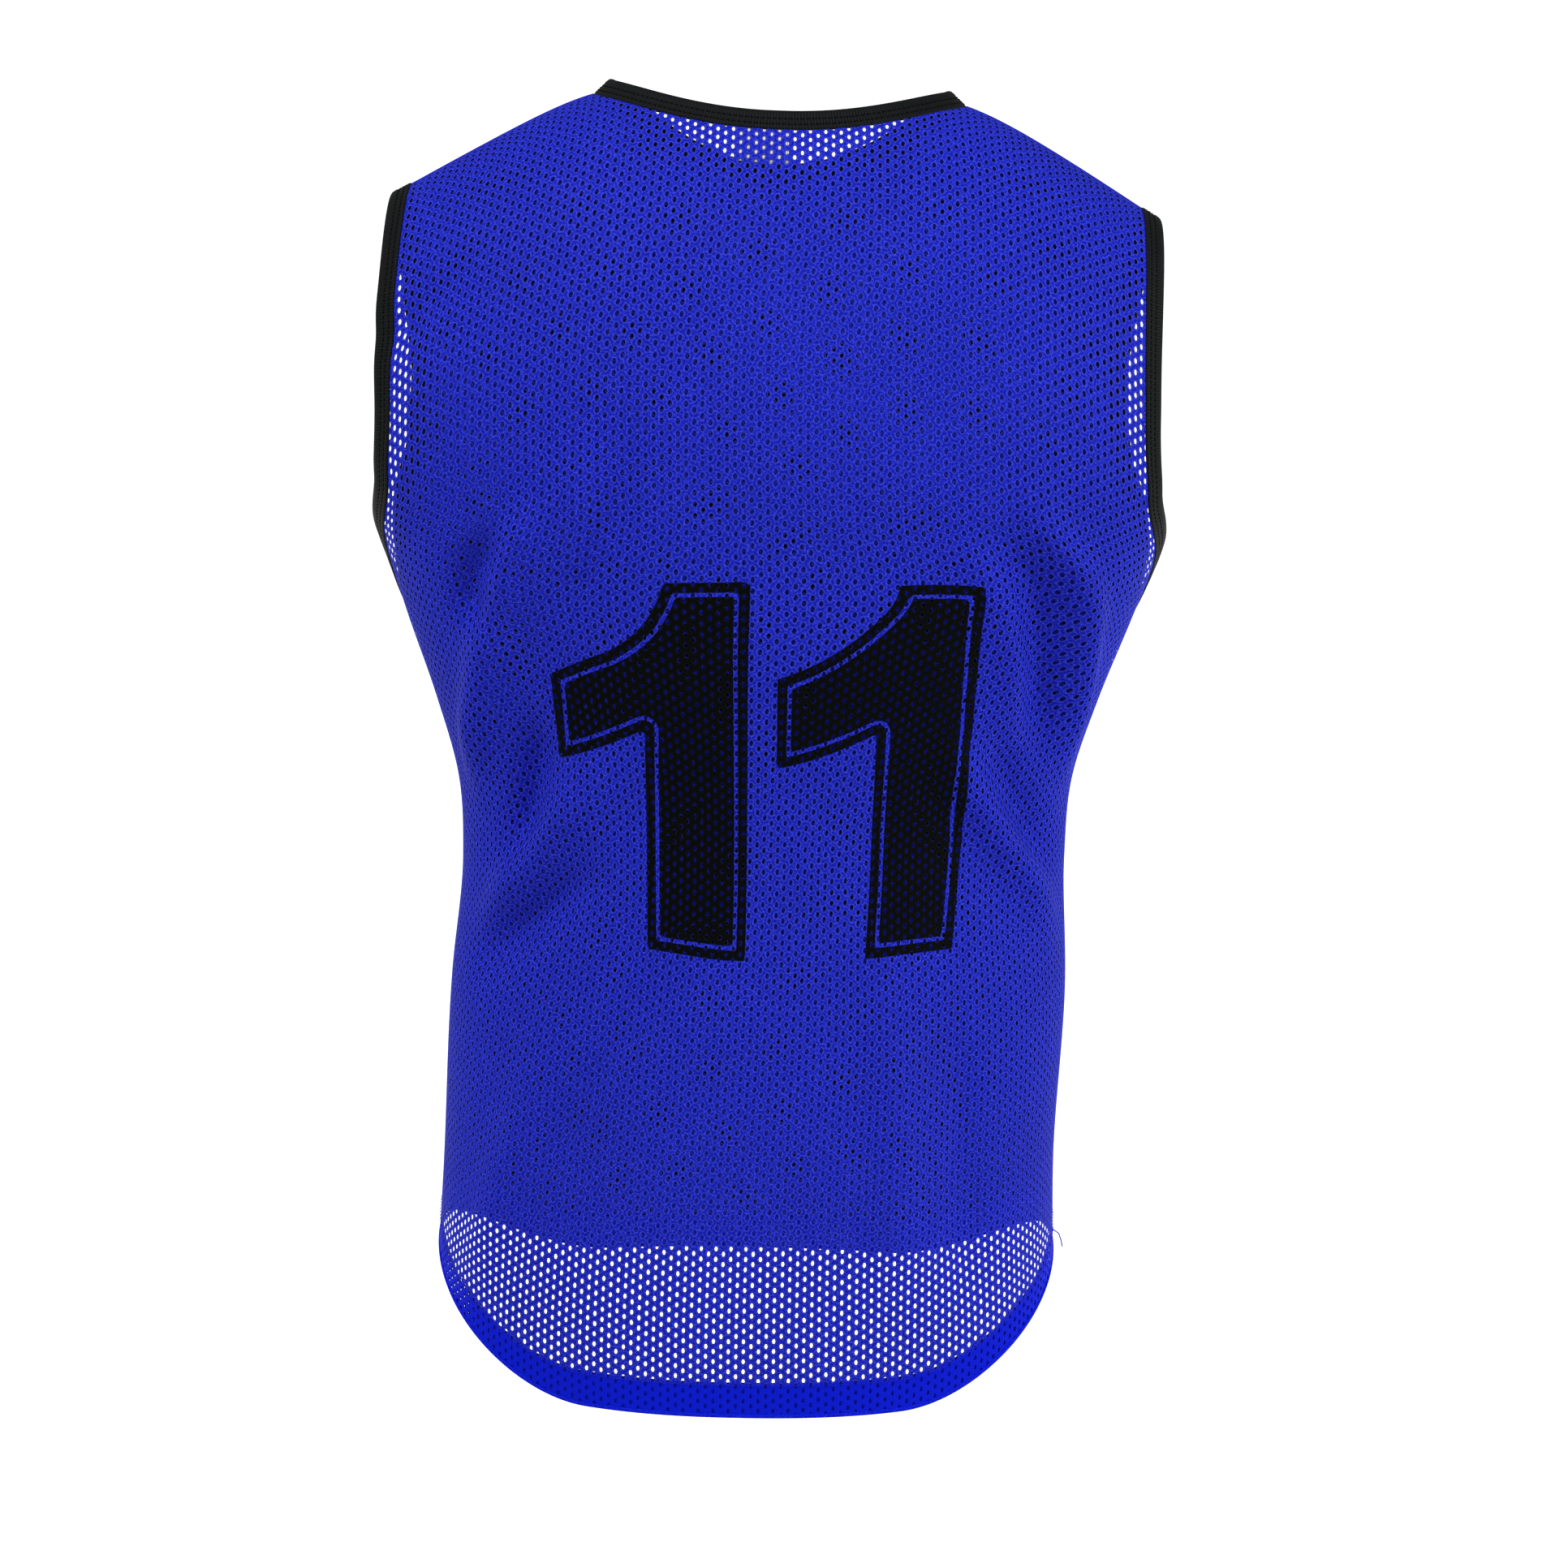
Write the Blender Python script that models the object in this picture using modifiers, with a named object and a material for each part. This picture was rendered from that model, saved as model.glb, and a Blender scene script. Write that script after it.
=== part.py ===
"""Sleeveless mesh training bib in its worn form, hollow, with its back towards -Y.

The origin lies midway between the two points where the neckline meets the shoulder seams.
Each panel is cut flat, then laid over a hollow made of rounded sections: the distance
across the cut runs round the section, and the distance up the cut runs along the cloth.
"""
import math

import bmesh
import bpy
import numpy as np

# The cut, in metres. Heights on the cut are counted from the row through the underarms.
HALF_WIDTH = 0.240
BODY_LENGTH = 0.466
HEM_RISE = 0.064
HEM_TURN = (0.35, 1.05)
HEM_SKEW = 0.0045
HEM_BAND = 0.020
TIP_HALF = 0.200
NECK_HALF = 0.099
NECK_DROP = {"back": 0.052, "front": 0.098}
NECK_CURVE = 0.6
CHEST_HALF = {"back": 0.201, "front": 0.191}
ARMHOLE_CURVE = 0.105
ARMHOLE_TURN = 1.6
CLOTH = 0.0012
HEM_CLOTH = 0.0024
SEAM_GAP = 0.00025
EDGE_GAP = 0.0004
ARMHOLE_BINDING = 0.0105
NECK_BINDING = 0.0100
BINDING_THICK = 0.0022
NECK_STAND = 0.8
LABEL_SPAN = (-0.0217, 0.0045)
LABEL_LENGTH = 0.0225
LABEL_THICK = 0.0008

# The worn form, in metres.
BLADE_LEVEL = -0.180
ROW_LEVEL = -0.215
LOWEST_LEVEL = -0.760
RIDGE_ACROSS = 0.945
RIDGE_TOP = 0.010
RIDGE_SLOPE = 0.598
RIDGE_ROUND = 0.030
SHOULDER_DROOP = 0.034
DROOP_START = 0.060
DROOP_REACH = 0.145
SHOULDER_TILT = math.radians(1.9)
CAP_STEPS = 28
FALL_STEPS = 72
ARC_STEPS = 240

# Rounded sections from the shoulder blades down to the hem.
SECTION_COLUMNS = ("level", "half_width", "back", "front", "square", "lean")
SECTIONS = (
    (-0.140, 0.212, 0.113, 0.105, 2.8, -0.0060),
    (-0.180, 0.212, 0.113, 0.106, 2.8, -0.0060),
    (-0.205, 0.209, 0.112, 0.108, 2.7, -0.0055),
    (-0.232, 0.202, 0.111, 0.110, 2.5, -0.0050),
    (-0.265, 0.192, 0.108, 0.112, 2.3, -0.0060),
    (-0.310, 0.177, 0.102, 0.113, 2.2, -0.0070),
    (-0.355, 0.165, 0.098, 0.112, 2.2, -0.0080),
    (-0.400, 0.163, 0.099, 0.110, 2.2, -0.0090),
    (-0.470, 0.168, 0.106, 0.109, 2.3, -0.0120),
    (-0.570, 0.169, 0.114, 0.109, 2.5, -0.0175),
    (-0.640, 0.172, 0.117, 0.109, 2.6, -0.0195),
    (-0.700, 0.173, 0.116, 0.108, 2.6, -0.0200),
    (-0.760, 0.173, 0.114, 0.106, 2.6, -0.0200),
)
SHOULDER_LEAN = 0.006

# Creases as soft ridges (height above nought) and troughs, each along a straight run.
FOLD_COLUMNS = ("from_across", "from_level", "to_across", "to_level", "width", "height")
FOLDS = {
    "back": (
        (-0.118, -0.195, -0.130, -0.245, 0.012, 0.0060),
        (-0.130, -0.245, -0.184, -0.340, 0.015, 0.0090),
        (-0.138, -0.210, -0.152, -0.256, 0.011, -0.0075),
        (-0.088, -0.170, -0.112, -0.250, 0.015, 0.0045),
        (-0.070, -0.160, -0.098, -0.250, 0.016, -0.0045),
        (-0.128, -0.310, -0.154, -0.378, 0.013, -0.0090),
        (-0.098, -0.335, -0.174, -0.415, 0.015, 0.0080),
        (-0.106, -0.390, -0.174, -0.442, 0.015, -0.0070),
        (-0.200, -0.120, -0.155, -0.078, 0.010, -0.0030),
        (0.119, -0.215, 0.166, -0.320, 0.015, -0.0095),
        (0.138, -0.195, 0.192, -0.330, 0.013, 0.0080),
        (0.100, -0.215, 0.140, -0.300, 0.013, 0.0040),
        (0.128, -0.320, 0.182, -0.385, 0.015, -0.0065),
        (0.106, -0.325, 0.188, -0.420, 0.015, 0.0080),
        (0.072, -0.445, 0.086, -0.600, 0.018, 0.0040),
        (0.112, -0.470, 0.126, -0.610, 0.018, -0.0040),
        (-0.024, -0.425, -0.088, -0.520, 0.016, 0.0030),
        (-0.060, -0.440, -0.110, -0.540, 0.016, -0.0025),
        (-0.120, -0.470, -0.156, -0.610, 0.018, 0.0040),
    ),
    "front": (
        (-0.122, -0.205, -0.180, -0.335, 0.015, 0.0090),
        (-0.142, -0.220, -0.164, -0.290, 0.012, -0.0075),
        (-0.100, -0.230, -0.150, -0.330, 0.015, -0.0060),
        (-0.088, -0.315, -0.172, -0.405, 0.015, 0.0080),
        (-0.110, -0.375, -0.176, -0.432, 0.015, -0.0065),
        (0.130, -0.205, 0.188, -0.330, 0.015, 0.0085),
        (0.114, -0.220, 0.162, -0.312, 0.013, -0.0095),
        (0.098, -0.325, 0.182, -0.412, 0.015, 0.0080),
        (0.112, -0.385, 0.176, -0.445, 0.015, -0.0060),
        (0.060, -0.180, 0.086, -0.310, 0.018, -0.0040),
        (-0.052, -0.190, -0.084, -0.320, 0.018, -0.0040),
        (0.048, -0.410, 0.082, -0.590, 0.022, 0.0050),
        (-0.040, -0.395, -0.078, -0.600, 0.022, 0.0050),
        (0.002, -0.450, 0.008, -0.640, 0.024, -0.0045),
    ),
}
FOLD_FADE = (0.198, 0.234)
FOLD_TOP = (-0.050, -0.100)

# The net of each panel: steps across half a panel, and up it.
NECK_STEPS = 6
SHOULDER_STEPS = 12
PLAIN_STEPS = 9
CREASED_STEPS = 21
CREASED_SHARE = 0.50
BAND_STEP = 0.004
YOKE_STEPS = 17
YOKE_SPREAD = 1.4

SIDE = {"back": -1.0, "front": 1.0}


def smoothstep(low, high, value):
    t = np.clip((np.asarray(value, float) - low) / (high - low), 0.0, 1.0)
    return t * t * (3.0 - 2.0 * t)


def section(column, level):
    """A column of the table of sections, read smoothly between its rows."""
    rows = np.array(SECTIONS)[::-1]
    levels = rows[:, 0]
    values = rows[:, SECTION_COLUMNS.index(column)]
    slopes = np.gradient(values, levels)
    level = np.clip(level, levels[0], levels[-1])
    i = np.clip(np.searchsorted(levels, level) - 1, 0, len(levels) - 2)
    gap = levels[i + 1] - levels[i]
    t = (level - levels[i]) / gap
    start = values[i] * (1 + 2 * t) * (1 - t) ** 2 + gap * slopes[i] * t * (1 - t) ** 2
    end = values[i + 1] * t * t * (3 - 2 * t) - gap * slopes[i + 1] * t * t * (1 - t)
    return start + end


def ring(side, level, across):
    """Sideways place, depth and outward direction at a distance round one section."""
    half_width = float(section("half_width", level))
    depth = float(section(side, level))
    power = float(section("square", level))
    turn = np.linspace(0.0, math.pi / 2, ARC_STEPS)
    x = half_width * np.sin(turn) ** (2 / power)
    y = depth * np.cos(turn) ** (2 / power)
    y[-1] = 0.0
    run = np.concatenate([[0.0], np.cumsum(np.hypot(np.diff(x), np.diff(y)))])
    ease = 1.0 - smoothstep(-0.250, -0.190, level)
    take_up = 1.0 + (run[-1] / HALF_WIDTH - 1.0) * ease
    place = np.minimum(np.abs(across) * take_up, run[-1])
    sideways = np.interp(place, run, x)
    deep = np.interp(place, run, y)
    out_x = (sideways / half_width) ** (power - 1) / half_width
    out_y = (deep / depth) ** (power - 1) / depth
    length = np.hypot(out_x, out_y)
    return sideways, deep, out_x / length, out_y / length


def ridge_level(sideways):
    """Height of the shoulder line above the origin."""
    past_neck = sideways - NECK_HALF * RIDGE_ACROSS
    return RIDGE_TOP - RIDGE_SLOPE * (past_neck + np.hypot(past_neck, RIDGE_ROUND)) / 2


def droop(across):
    """How far the cloth's rows hang down towards the arms."""
    reach = np.clip((np.abs(across) - DROOP_START) / DROOP_REACH, 0.0, None)
    return SHOULDER_DROOP * np.minimum(reach ** 1.7, 1.40)


def fold_height(side, across, level):
    """Sum of the creases at a place on the cloth."""
    total = np.zeros(np.broadcast(across, level).shape)
    for row in FOLDS[side]:
        fold = dict(zip(FOLD_COLUMNS, row))
        run_x = fold["to_across"] - fold["from_across"]
        run_z = fold["to_level"] - fold["from_level"]
        length = math.hypot(run_x, run_z)
        off_x = across - fold["from_across"]
        off_z = level - fold["from_level"]
        along = (off_x * run_x + off_z * run_z) / length ** 2
        aside = (off_x * run_z - off_z * run_x) / length
        ends = smoothstep(-0.25, 0.30, along) * (1.0 - smoothstep(0.70, 1.25, along))
        total += fold["height"] * ends * np.exp(-((aside / fold["width"]) ** 2))
    total *= 1.0 - smoothstep(*FOLD_FADE, np.abs(across))
    return total * (1.0 - smoothstep(FOLD_TOP[1], FOLD_TOP[0], level))


def columns(side, across):
    """Each column of cloth from the shoulder line down, and the cloth's length along it."""
    across = np.asarray(across, float)
    psi = np.linspace(math.pi / 2, 0.0, CAP_STEPS)[:-1]
    falls = np.linspace(BLADE_LEVEL, LOWEST_LEVEL, FALL_STEPS)
    points = np.empty((len(across), len(psi) + len(falls), 3))
    outward = np.zeros_like(points)
    sideways, deep, out_x, out_y = ring(side, BLADE_LEVEL, across)
    over = RIDGE_ACROSS * np.abs(across)
    top = ridge_level(over)
    for j, angle in enumerate(psi):
        points[:, j, 0] = sideways + (over - sideways) * math.sin(angle) ** 2
        points[:, j, 1] = deep * math.cos(angle)
        points[:, j, 2] = BLADE_LEVEL + (top - BLADE_LEVEL) * math.sin(angle)
        outward[:, j, 0] = out_x
        outward[:, j, 1] = out_y
    for j, level in enumerate(falls, len(psi)):
        sideways, deep, out_x, out_y = ring(side, level, across)
        points[:, j, 0] = sideways
        points[:, j, 1] = deep
        points[:, j, 2] = level
        outward[:, j, 0] = out_x
        outward[:, j, 1] = out_y
    steps = np.linalg.norm(np.diff(points, axis=1), axis=2)
    run = np.concatenate([np.zeros((len(across), 1)), np.cumsum(steps, axis=1)], axis=1)
    start = ROW_LEVEL - droop(across)
    for i in range(len(across)):
        run[i] = np.interp(-start[i], -points[i, :, 2], run[i]) - run[i]
    height = fold_height(side, across[:, None], points[:, :, 2])
    points += outward * height[:, :, None]
    points[:, :, 0] *= np.where(across < 0, -1.0, 1.0)[:, None]
    points[:, :, 1] *= SIDE[side]
    tilt = math.tan(SHOULDER_TILT) * smoothstep(-0.42, -0.10, points[:, :, 2])
    points[:, :, 2] -= points[:, :, 0] * tilt
    points[:, :, 0] += section("lean", points[:, :, 2])
    points[:, :, 0] += SHOULDER_LEAN * smoothstep(-0.14, 0.0, points[:, :, 2])
    return points, run


def shoulder_height(side, across):
    """Height on the cut of the shoulder line."""
    return columns(side, np.atleast_1d(across))[1][:, 0]


def wall(side, across, up):
    """Places in the worn form of points of the cut."""
    across, up = np.broadcast_arrays(np.asarray(across, float), np.asarray(up, float))
    points, run = columns(side, across.ravel())
    slack = 1.0 - droop(across.ravel()) / BODY_LENGTH
    target = np.where(up.ravel() < 0, up.ravel() * slack, up.ravel())
    placed = np.empty((across.size, 3))
    for i in range(across.size):
        for axis in range(3):
            placed[i, axis] = np.interp(-target[i], -run[i], points[i, :, axis])
    return placed.reshape(across.shape + (3,))


def wall_frame(side, across, up, step=0.002):
    """Places and outward directions of points of the cut."""
    across, up = np.broadcast_arrays(np.asarray(across, float), np.asarray(up, float))
    top = shoulder_height(side, across.ravel()).reshape(across.shape)
    high = np.minimum(up + step, top)
    inwards = np.where(across > 0, -step, step)
    place = wall(side, across, up)
    rise = wall(side, across, high) - wall(side, across, high - 2 * step)
    aside = (wall(side, across + inwards, up) - place) * np.sign(inwards)[..., None]
    out = np.cross(aside, rise) * -SIDE[side]
    return place, out / np.linalg.norm(out, axis=-1, keepdims=True)


def armhole_half(side, up):
    """Half width of the cut beside the armhole, or of the body below it."""
    edge = HALF_WIDTH - SEAM_GAP
    t = np.clip(up / ARMHOLE_CURVE, 0.0, 1.0)
    curve = np.sqrt(1.0 - (1.0 - t) ** ARMHOLE_TURN)
    low = edge + (CHEST_HALF[side] - edge) * curve
    return low + (TIP_HALF - CHEST_HALF[side]) * smoothstep(0.080, 0.190, up)


def neck_drop(side, across):
    reach = np.clip(np.abs(across) / NECK_HALF, 0.0, 1.0)
    return NECK_DROP[side] * (1.0 - reach ** 2) ** NECK_CURVE


def top_height(side, across):
    gap = np.maximum(neck_drop(side, across), SEAM_GAP)
    return shoulder_height(side, across) - gap


def hem_height(across):
    share = across / HALF_WIDTH
    rise = HEM_RISE * smoothstep(*HEM_TURN, np.abs(share))
    return rise - BODY_LENGTH - HEM_SKEW * share


def cut_net(side):
    """The net of a panel on the cut: distances across and up, row by row from the hem."""
    turn = np.linspace(0.0, math.pi / 2, NECK_STEPS + 1)
    neck = NECK_HALF / TIP_HALF
    half = np.concatenate([neck * np.sin(turn), np.linspace(neck, 1.0, SHOULDER_STEPS + 1)[1:]])
    share = np.concatenate([-half[:0:-1], half])
    top = top_height(side, share * TIP_HALF)
    edge = share * (HALF_WIDTH - SEAM_GAP)
    hem = hem_height(edge)
    band = HEM_BAND / (BODY_LENGTH - HEM_RISE)
    low = np.linspace(band + BAND_STEP, CREASED_SHARE, PLAIN_STEPS, endpoint=False)
    rows = np.concatenate([[0.0, band], low, np.linspace(CREASED_SHARE, 1.0, CREASED_STEPS)])
    across = [edge for _ in rows]
    up = [hem * (1.0 - row) for row in rows]
    for row in np.linspace(0.0, 1.0, YOKE_STEPS + 1)[1:]:
        height = top * row ** YOKE_SPREAD
        across.append(share * armhole_half(side, height))
        up.append(height)
    return np.array(across), np.array(up)


def principled(name, colour, roughness):
    material = bpy.data.materials.new(name)
    material.use_nodes = True
    shader = material.node_tree.nodes["Principled BSDF"]
    shader.inputs["Base Color"].default_value = (*colour, 1.0)
    shader.inputs["Roughness"].default_value = roughness
    shader.inputs["Metallic"].default_value = 0.0
    material.diffuse_color = (*colour, 1.0)
    return material


def add_object(name, mesh, material, collection):
    obj = bpy.data.objects.new(name, mesh)
    mesh.materials.append(material)
    mesh.shade_smooth()
    collection.objects.link(obj)
    return obj


def net_mesh(name, places, looped=False):
    """A grid with its points moved to the given places, rows by columns."""
    rows, count = places.shape[:2]
    net = bmesh.new()
    bmesh.ops.create_grid(net, x_segments=count - 1, y_segments=rows - 1, size=1.0)
    net.verts.ensure_lookup_table()
    for vert, place in zip(net.verts, places.reshape(-1, 3)):
        vert.co = place
    if looped:
        bmesh.ops.remove_doubles(net, verts=net.verts, dist=1e-6)
    mesh = bpy.data.meshes.new(name)
    net.to_mesh(mesh)
    net.free()
    return mesh


def face_out(mesh, outward):
    """Turns every face round where the first one points inwards."""
    face = mesh.polygons[len(mesh.polygons) // 2]
    if face.normal.dot(outward) < 0:
        mesh.flip_normals()


def thicken(obj, thickness, offset):
    solid = obj.modifiers.new("Cloth thickness", "SOLIDIFY")
    solid.thickness = thickness
    solid.offset = offset
    solid.use_even_offset = True
    return solid


def make_panel(side, material, collection):
    """A panel with its turned hem: the wall is thicker inwards along the hem band."""
    across, up = cut_net(side)
    mesh = net_mesh(side + "_panel", wall(side, across, up))
    face_out(mesh, (0.0, SIDE[side], 0.0))
    panel = add_object(side + "_panel", mesh, material, collection)
    count = across.shape[1]
    hem = panel.vertex_groups.new(name="cloth")
    body = range(2 * count, len(mesh.vertices))
    hem.add(list(range(2 * count)), 1.0, "REPLACE")
    hem.add(list(body), CLOTH / HEM_CLOTH, "REPLACE")
    solid = thicken(panel, HEM_CLOTH, -1.0)
    solid.vertex_group = "cloth"
    return panel


def armhole_edge(side, hand):
    """The net's points along one armhole edge, from the underarm to the shoulder tip."""
    across, up = cut_net(side)
    column = 0 if hand < 0 else -1
    armhole = up[:, column] > -SEAM_GAP
    return across[armhole, column], up[armhole, column]


def neck_edge(side):
    """The net's points along one neckline, from the left shoulder to the right."""
    across, up = cut_net(side)
    neck = np.abs(across[-1]) < NECK_HALF + SEAM_GAP
    return across[-1, neck], up[-1, neck]


def strip(name, edges, width, stand, inward, material, collection):
    """A folded binding that runs on from the panels' edges, closed into a loop."""
    places, outs = [], []
    for side, across, up in edges:
        place, out = wall_frame(side, across, up)
        places.append(place[:-1])
        outs.append(out[:-1])
    places = np.concatenate(places)
    outs = np.concatenate(outs)
    along = np.roll(places, -1, axis=0) - np.roll(places, 1, axis=0)
    away = np.cross(along, outs)
    away /= np.linalg.norm(away, axis=1, keepdims=True)
    if np.sum(away * (inward - places)) < 0:
        away = -away
    away[:, 2] += stand * (1.0 - np.abs(away[:, 2]))
    away /= np.linalg.norm(away, axis=1, keepdims=True)
    middle = places - outs * CLOTH / 2
    rows = [middle + away * reach for reach in (EDGE_GAP, EDGE_GAP + width / 2, EDGE_GAP + width)]
    net = np.stack(rows)
    net = np.concatenate([net, net[:, :1]], axis=1)
    mesh = net_mesh(name, net, looped=True)
    obj = add_object(name, mesh, material, collection)
    thicken(obj, BINDING_THICK, 0.0)
    return obj


def make_armhole_binding(name, hand, material, collection):
    back = armhole_edge("back", hand)
    front = armhole_edge("front", hand)
    edges = [("back", *back), ("front", front[0][::-1], front[1][::-1])]
    centre = np.array((hand * 0.21, 0.0, -0.16))
    return strip(name, edges, ARMHOLE_BINDING, 0.0, centre, material, collection)


def make_neck_binding(material, collection):
    back = neck_edge("back")
    front = neck_edge("front")
    edges = [("back", *back), ("front", front[0][::-1], front[1][::-1])]
    centre = np.array((0.0, 0.0, 0.02))
    return strip("neck_binding", edges, NECK_BINDING, NECK_STAND, centre, material, collection)


def make_label(material, collection):
    """A blank label that hangs inside the back panel from the neck seam."""
    across = np.linspace(*LABEL_SPAN, 4)
    top = shoulder_height("back", across) - neck_drop("back", across) - EDGE_GAP
    rows = np.linspace(0.0, LABEL_LENGTH, 4)
    spans = np.array([across for _ in rows])
    ups = np.array([top - row for row in rows])
    place, out = wall_frame("back", spans, ups)
    mesh = net_mesh("neck_label", place - out * (CLOTH + EDGE_GAP))
    face_out(mesh, (0.0, -1.0, 0.0))
    label = add_object("neck_label", mesh, material, collection)
    thicken(label, LABEL_THICK, -1.0)
    return label


def main():
    for obj in list(bpy.data.objects):
        bpy.data.objects.remove(obj, do_unlink=True)
    collection = bpy.data.collections.new("mesh_training_bib")
    bpy.context.scene.collection.children.link(collection)
    blue = principled("blue polyester mesh", (0.010, 0.014, 0.60), 0.75)
    black = principled("black polyester binding", (0.008, 0.009, 0.011), 0.85)
    white = principled("white woven label", (0.80, 0.80, 0.80), 0.80)
    make_panel("back", blue, collection)
    make_panel("front", blue, collection)
    make_neck_binding(black, collection)
    make_armhole_binding("armhole_binding_left", -1.0, black, collection)
    make_armhole_binding("armhole_binding_right", 1.0, black, collection)
    make_label(white, collection)


main()
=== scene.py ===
# %% [markdown]
# # A mesh training bib, worn, seen from behind
# A training bib is two panels of open knitted mesh, sewn at the shoulders and sides, with
# tape folded over the neckline and armholes and a turned hem. This lesson dresses the rigid
# model of that bib: it drapes the flat cut over the worn form, knits the mesh as real holes,
# folds the tapes, and sews every seam with stitches that can be counted.

# %% Load the frame
import math

import bmesh
import bpy
import numpy as np
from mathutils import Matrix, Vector


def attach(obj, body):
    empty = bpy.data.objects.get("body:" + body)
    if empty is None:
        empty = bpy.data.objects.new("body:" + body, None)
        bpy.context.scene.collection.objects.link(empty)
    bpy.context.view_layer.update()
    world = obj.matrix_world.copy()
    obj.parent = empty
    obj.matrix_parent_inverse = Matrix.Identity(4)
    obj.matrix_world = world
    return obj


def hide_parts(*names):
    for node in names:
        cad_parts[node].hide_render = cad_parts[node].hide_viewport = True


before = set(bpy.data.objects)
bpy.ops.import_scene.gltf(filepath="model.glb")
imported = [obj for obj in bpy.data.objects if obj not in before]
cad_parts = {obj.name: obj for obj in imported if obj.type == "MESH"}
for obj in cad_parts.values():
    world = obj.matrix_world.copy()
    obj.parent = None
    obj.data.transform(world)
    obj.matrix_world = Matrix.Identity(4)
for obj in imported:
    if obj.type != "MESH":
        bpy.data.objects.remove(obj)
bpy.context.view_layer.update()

# %% [markdown]
# ## The camera
# The photograph was taken from about 1.6 m behind the bib, a little above it and looking
# down 16 degrees. A 75 mm lens on a 36 mm square frame gives the same narrow view. The camera
# comes first, because every later choice of detail depends on how large a millimetre shows.

# %% Camera
CAMERA_PLACE = (0.002, -1.6961, 0.1244)
CAMERA_PITCH = math.radians(16)
CAMERA_LENS = 74.99

camera = bpy.data.objects.new("camera", bpy.data.cameras.new("camera"))
camera.location = CAMERA_PLACE
camera.rotation_euler = (math.pi / 2 - CAMERA_PITCH, 0.0, 0.0)
camera.data.sensor_width = 36.0
camera.data.lens = CAMERA_LENS
bpy.context.scene.collection.objects.link(camera)
bpy.context.scene.camera = camera
print("camera looks down", round(math.degrees(CAMERA_PITCH)), "degrees")

# %% [markdown]
# ## The cut
# Every size of the bib starts as a number on the flat cut. Distances across are counted from
# the middle, and heights from the row through the underarms. Keeping them in one place means
# that the same names shape the panels, the tapes and the seams.

# %% Sizes of the cut
HALF_WIDTH = 0.240
BODY_LENGTH = 0.466
HEM_RISE = 0.064
HEM_TURN = (0.35, 1.05)
HEM_SKEW = 0.0045
HEM_BAND = 0.020
TIP_HALF = 0.200
NECK_HALF = 0.099
NECK_DROP = {"back": 0.052, "front": 0.098}
NECK_CURVE = 0.6
CHEST_HALF = {"back": 0.201, "front": 0.191}
ARMHOLE_CURVE = 0.105
ARMHOLE_TURN = 1.6
ARMHOLE_CROWDING = 1.6
TIP_TURN = (0.080, 0.190)
SEAM_GAP = 0.00025
SIDE = {"back": -1.0, "front": 1.0}
print("half chest", HALF_WIDTH, "m, body length", BODY_LENGTH, "m")

# %% [markdown]
# ## The worn form
# Worn, the bib is a rounded tube that closes into a dome at the shoulders. A cloth simulation
# could find that form, but it would give other folds on each machine. Here it is made of
# rounded sections, level by level, so the cloth is as long in the worn form as it is in the
# cut. The creases are placed where the photograph shows them at the waist and below the
# armholes, with similar ones on the front.

# %% Sections of the worn form
BLADE_LEVEL = -0.180
ROW_LEVEL = -0.215
LOWEST_LEVEL = -0.760
RIDGE_ACROSS = 0.945
RIDGE_TOP = 0.010
RIDGE_SLOPE = 0.598
RIDGE_ROUND = 0.030
SHOULDER_DROOP = 0.034
DROOP_START = 0.060
DROOP_REACH = 0.145
DROOP_POWER = 1.7
DROOP_MOST = 1.40
SHOULDER_TILT = math.radians(1.9)
SHOULDER_LEAN = 0.006
LEAN_LEVELS = (-0.14, 0.0)
TILT_LEVELS = (-0.42, -0.10)
EASE_LEVELS = (-0.250, -0.190)
CAP_STEPS = 60
FALL_STEPS = 200
ARC_STEPS = 600
SECTION_COLUMNS = ("level", "half_width", "back", "front", "square", "lean")
SECTIONS = (
    (-0.140, 0.212, 0.113, 0.105, 2.8, -0.0060),
    (-0.180, 0.212, 0.113, 0.106, 2.8, -0.0060),
    (-0.205, 0.209, 0.112, 0.108, 2.7, -0.0055),
    (-0.232, 0.202, 0.111, 0.110, 2.5, -0.0050),
    (-0.265, 0.192, 0.108, 0.112, 2.3, -0.0060),
    (-0.310, 0.177, 0.102, 0.113, 2.2, -0.0070),
    (-0.355, 0.165, 0.098, 0.112, 2.2, -0.0080),
    (-0.400, 0.163, 0.099, 0.110, 2.2, -0.0090),
    (-0.470, 0.168, 0.106, 0.109, 2.3, -0.0120),
    (-0.570, 0.169, 0.114, 0.109, 2.5, -0.0175),
    (-0.640, 0.172, 0.117, 0.109, 2.6, -0.0195),
    (-0.700, 0.173, 0.116, 0.108, 2.6, -0.0200),
    (-0.760, 0.173, 0.114, 0.106, 2.6, -0.0200),
)
print(len(SECTIONS), "sections")

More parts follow.
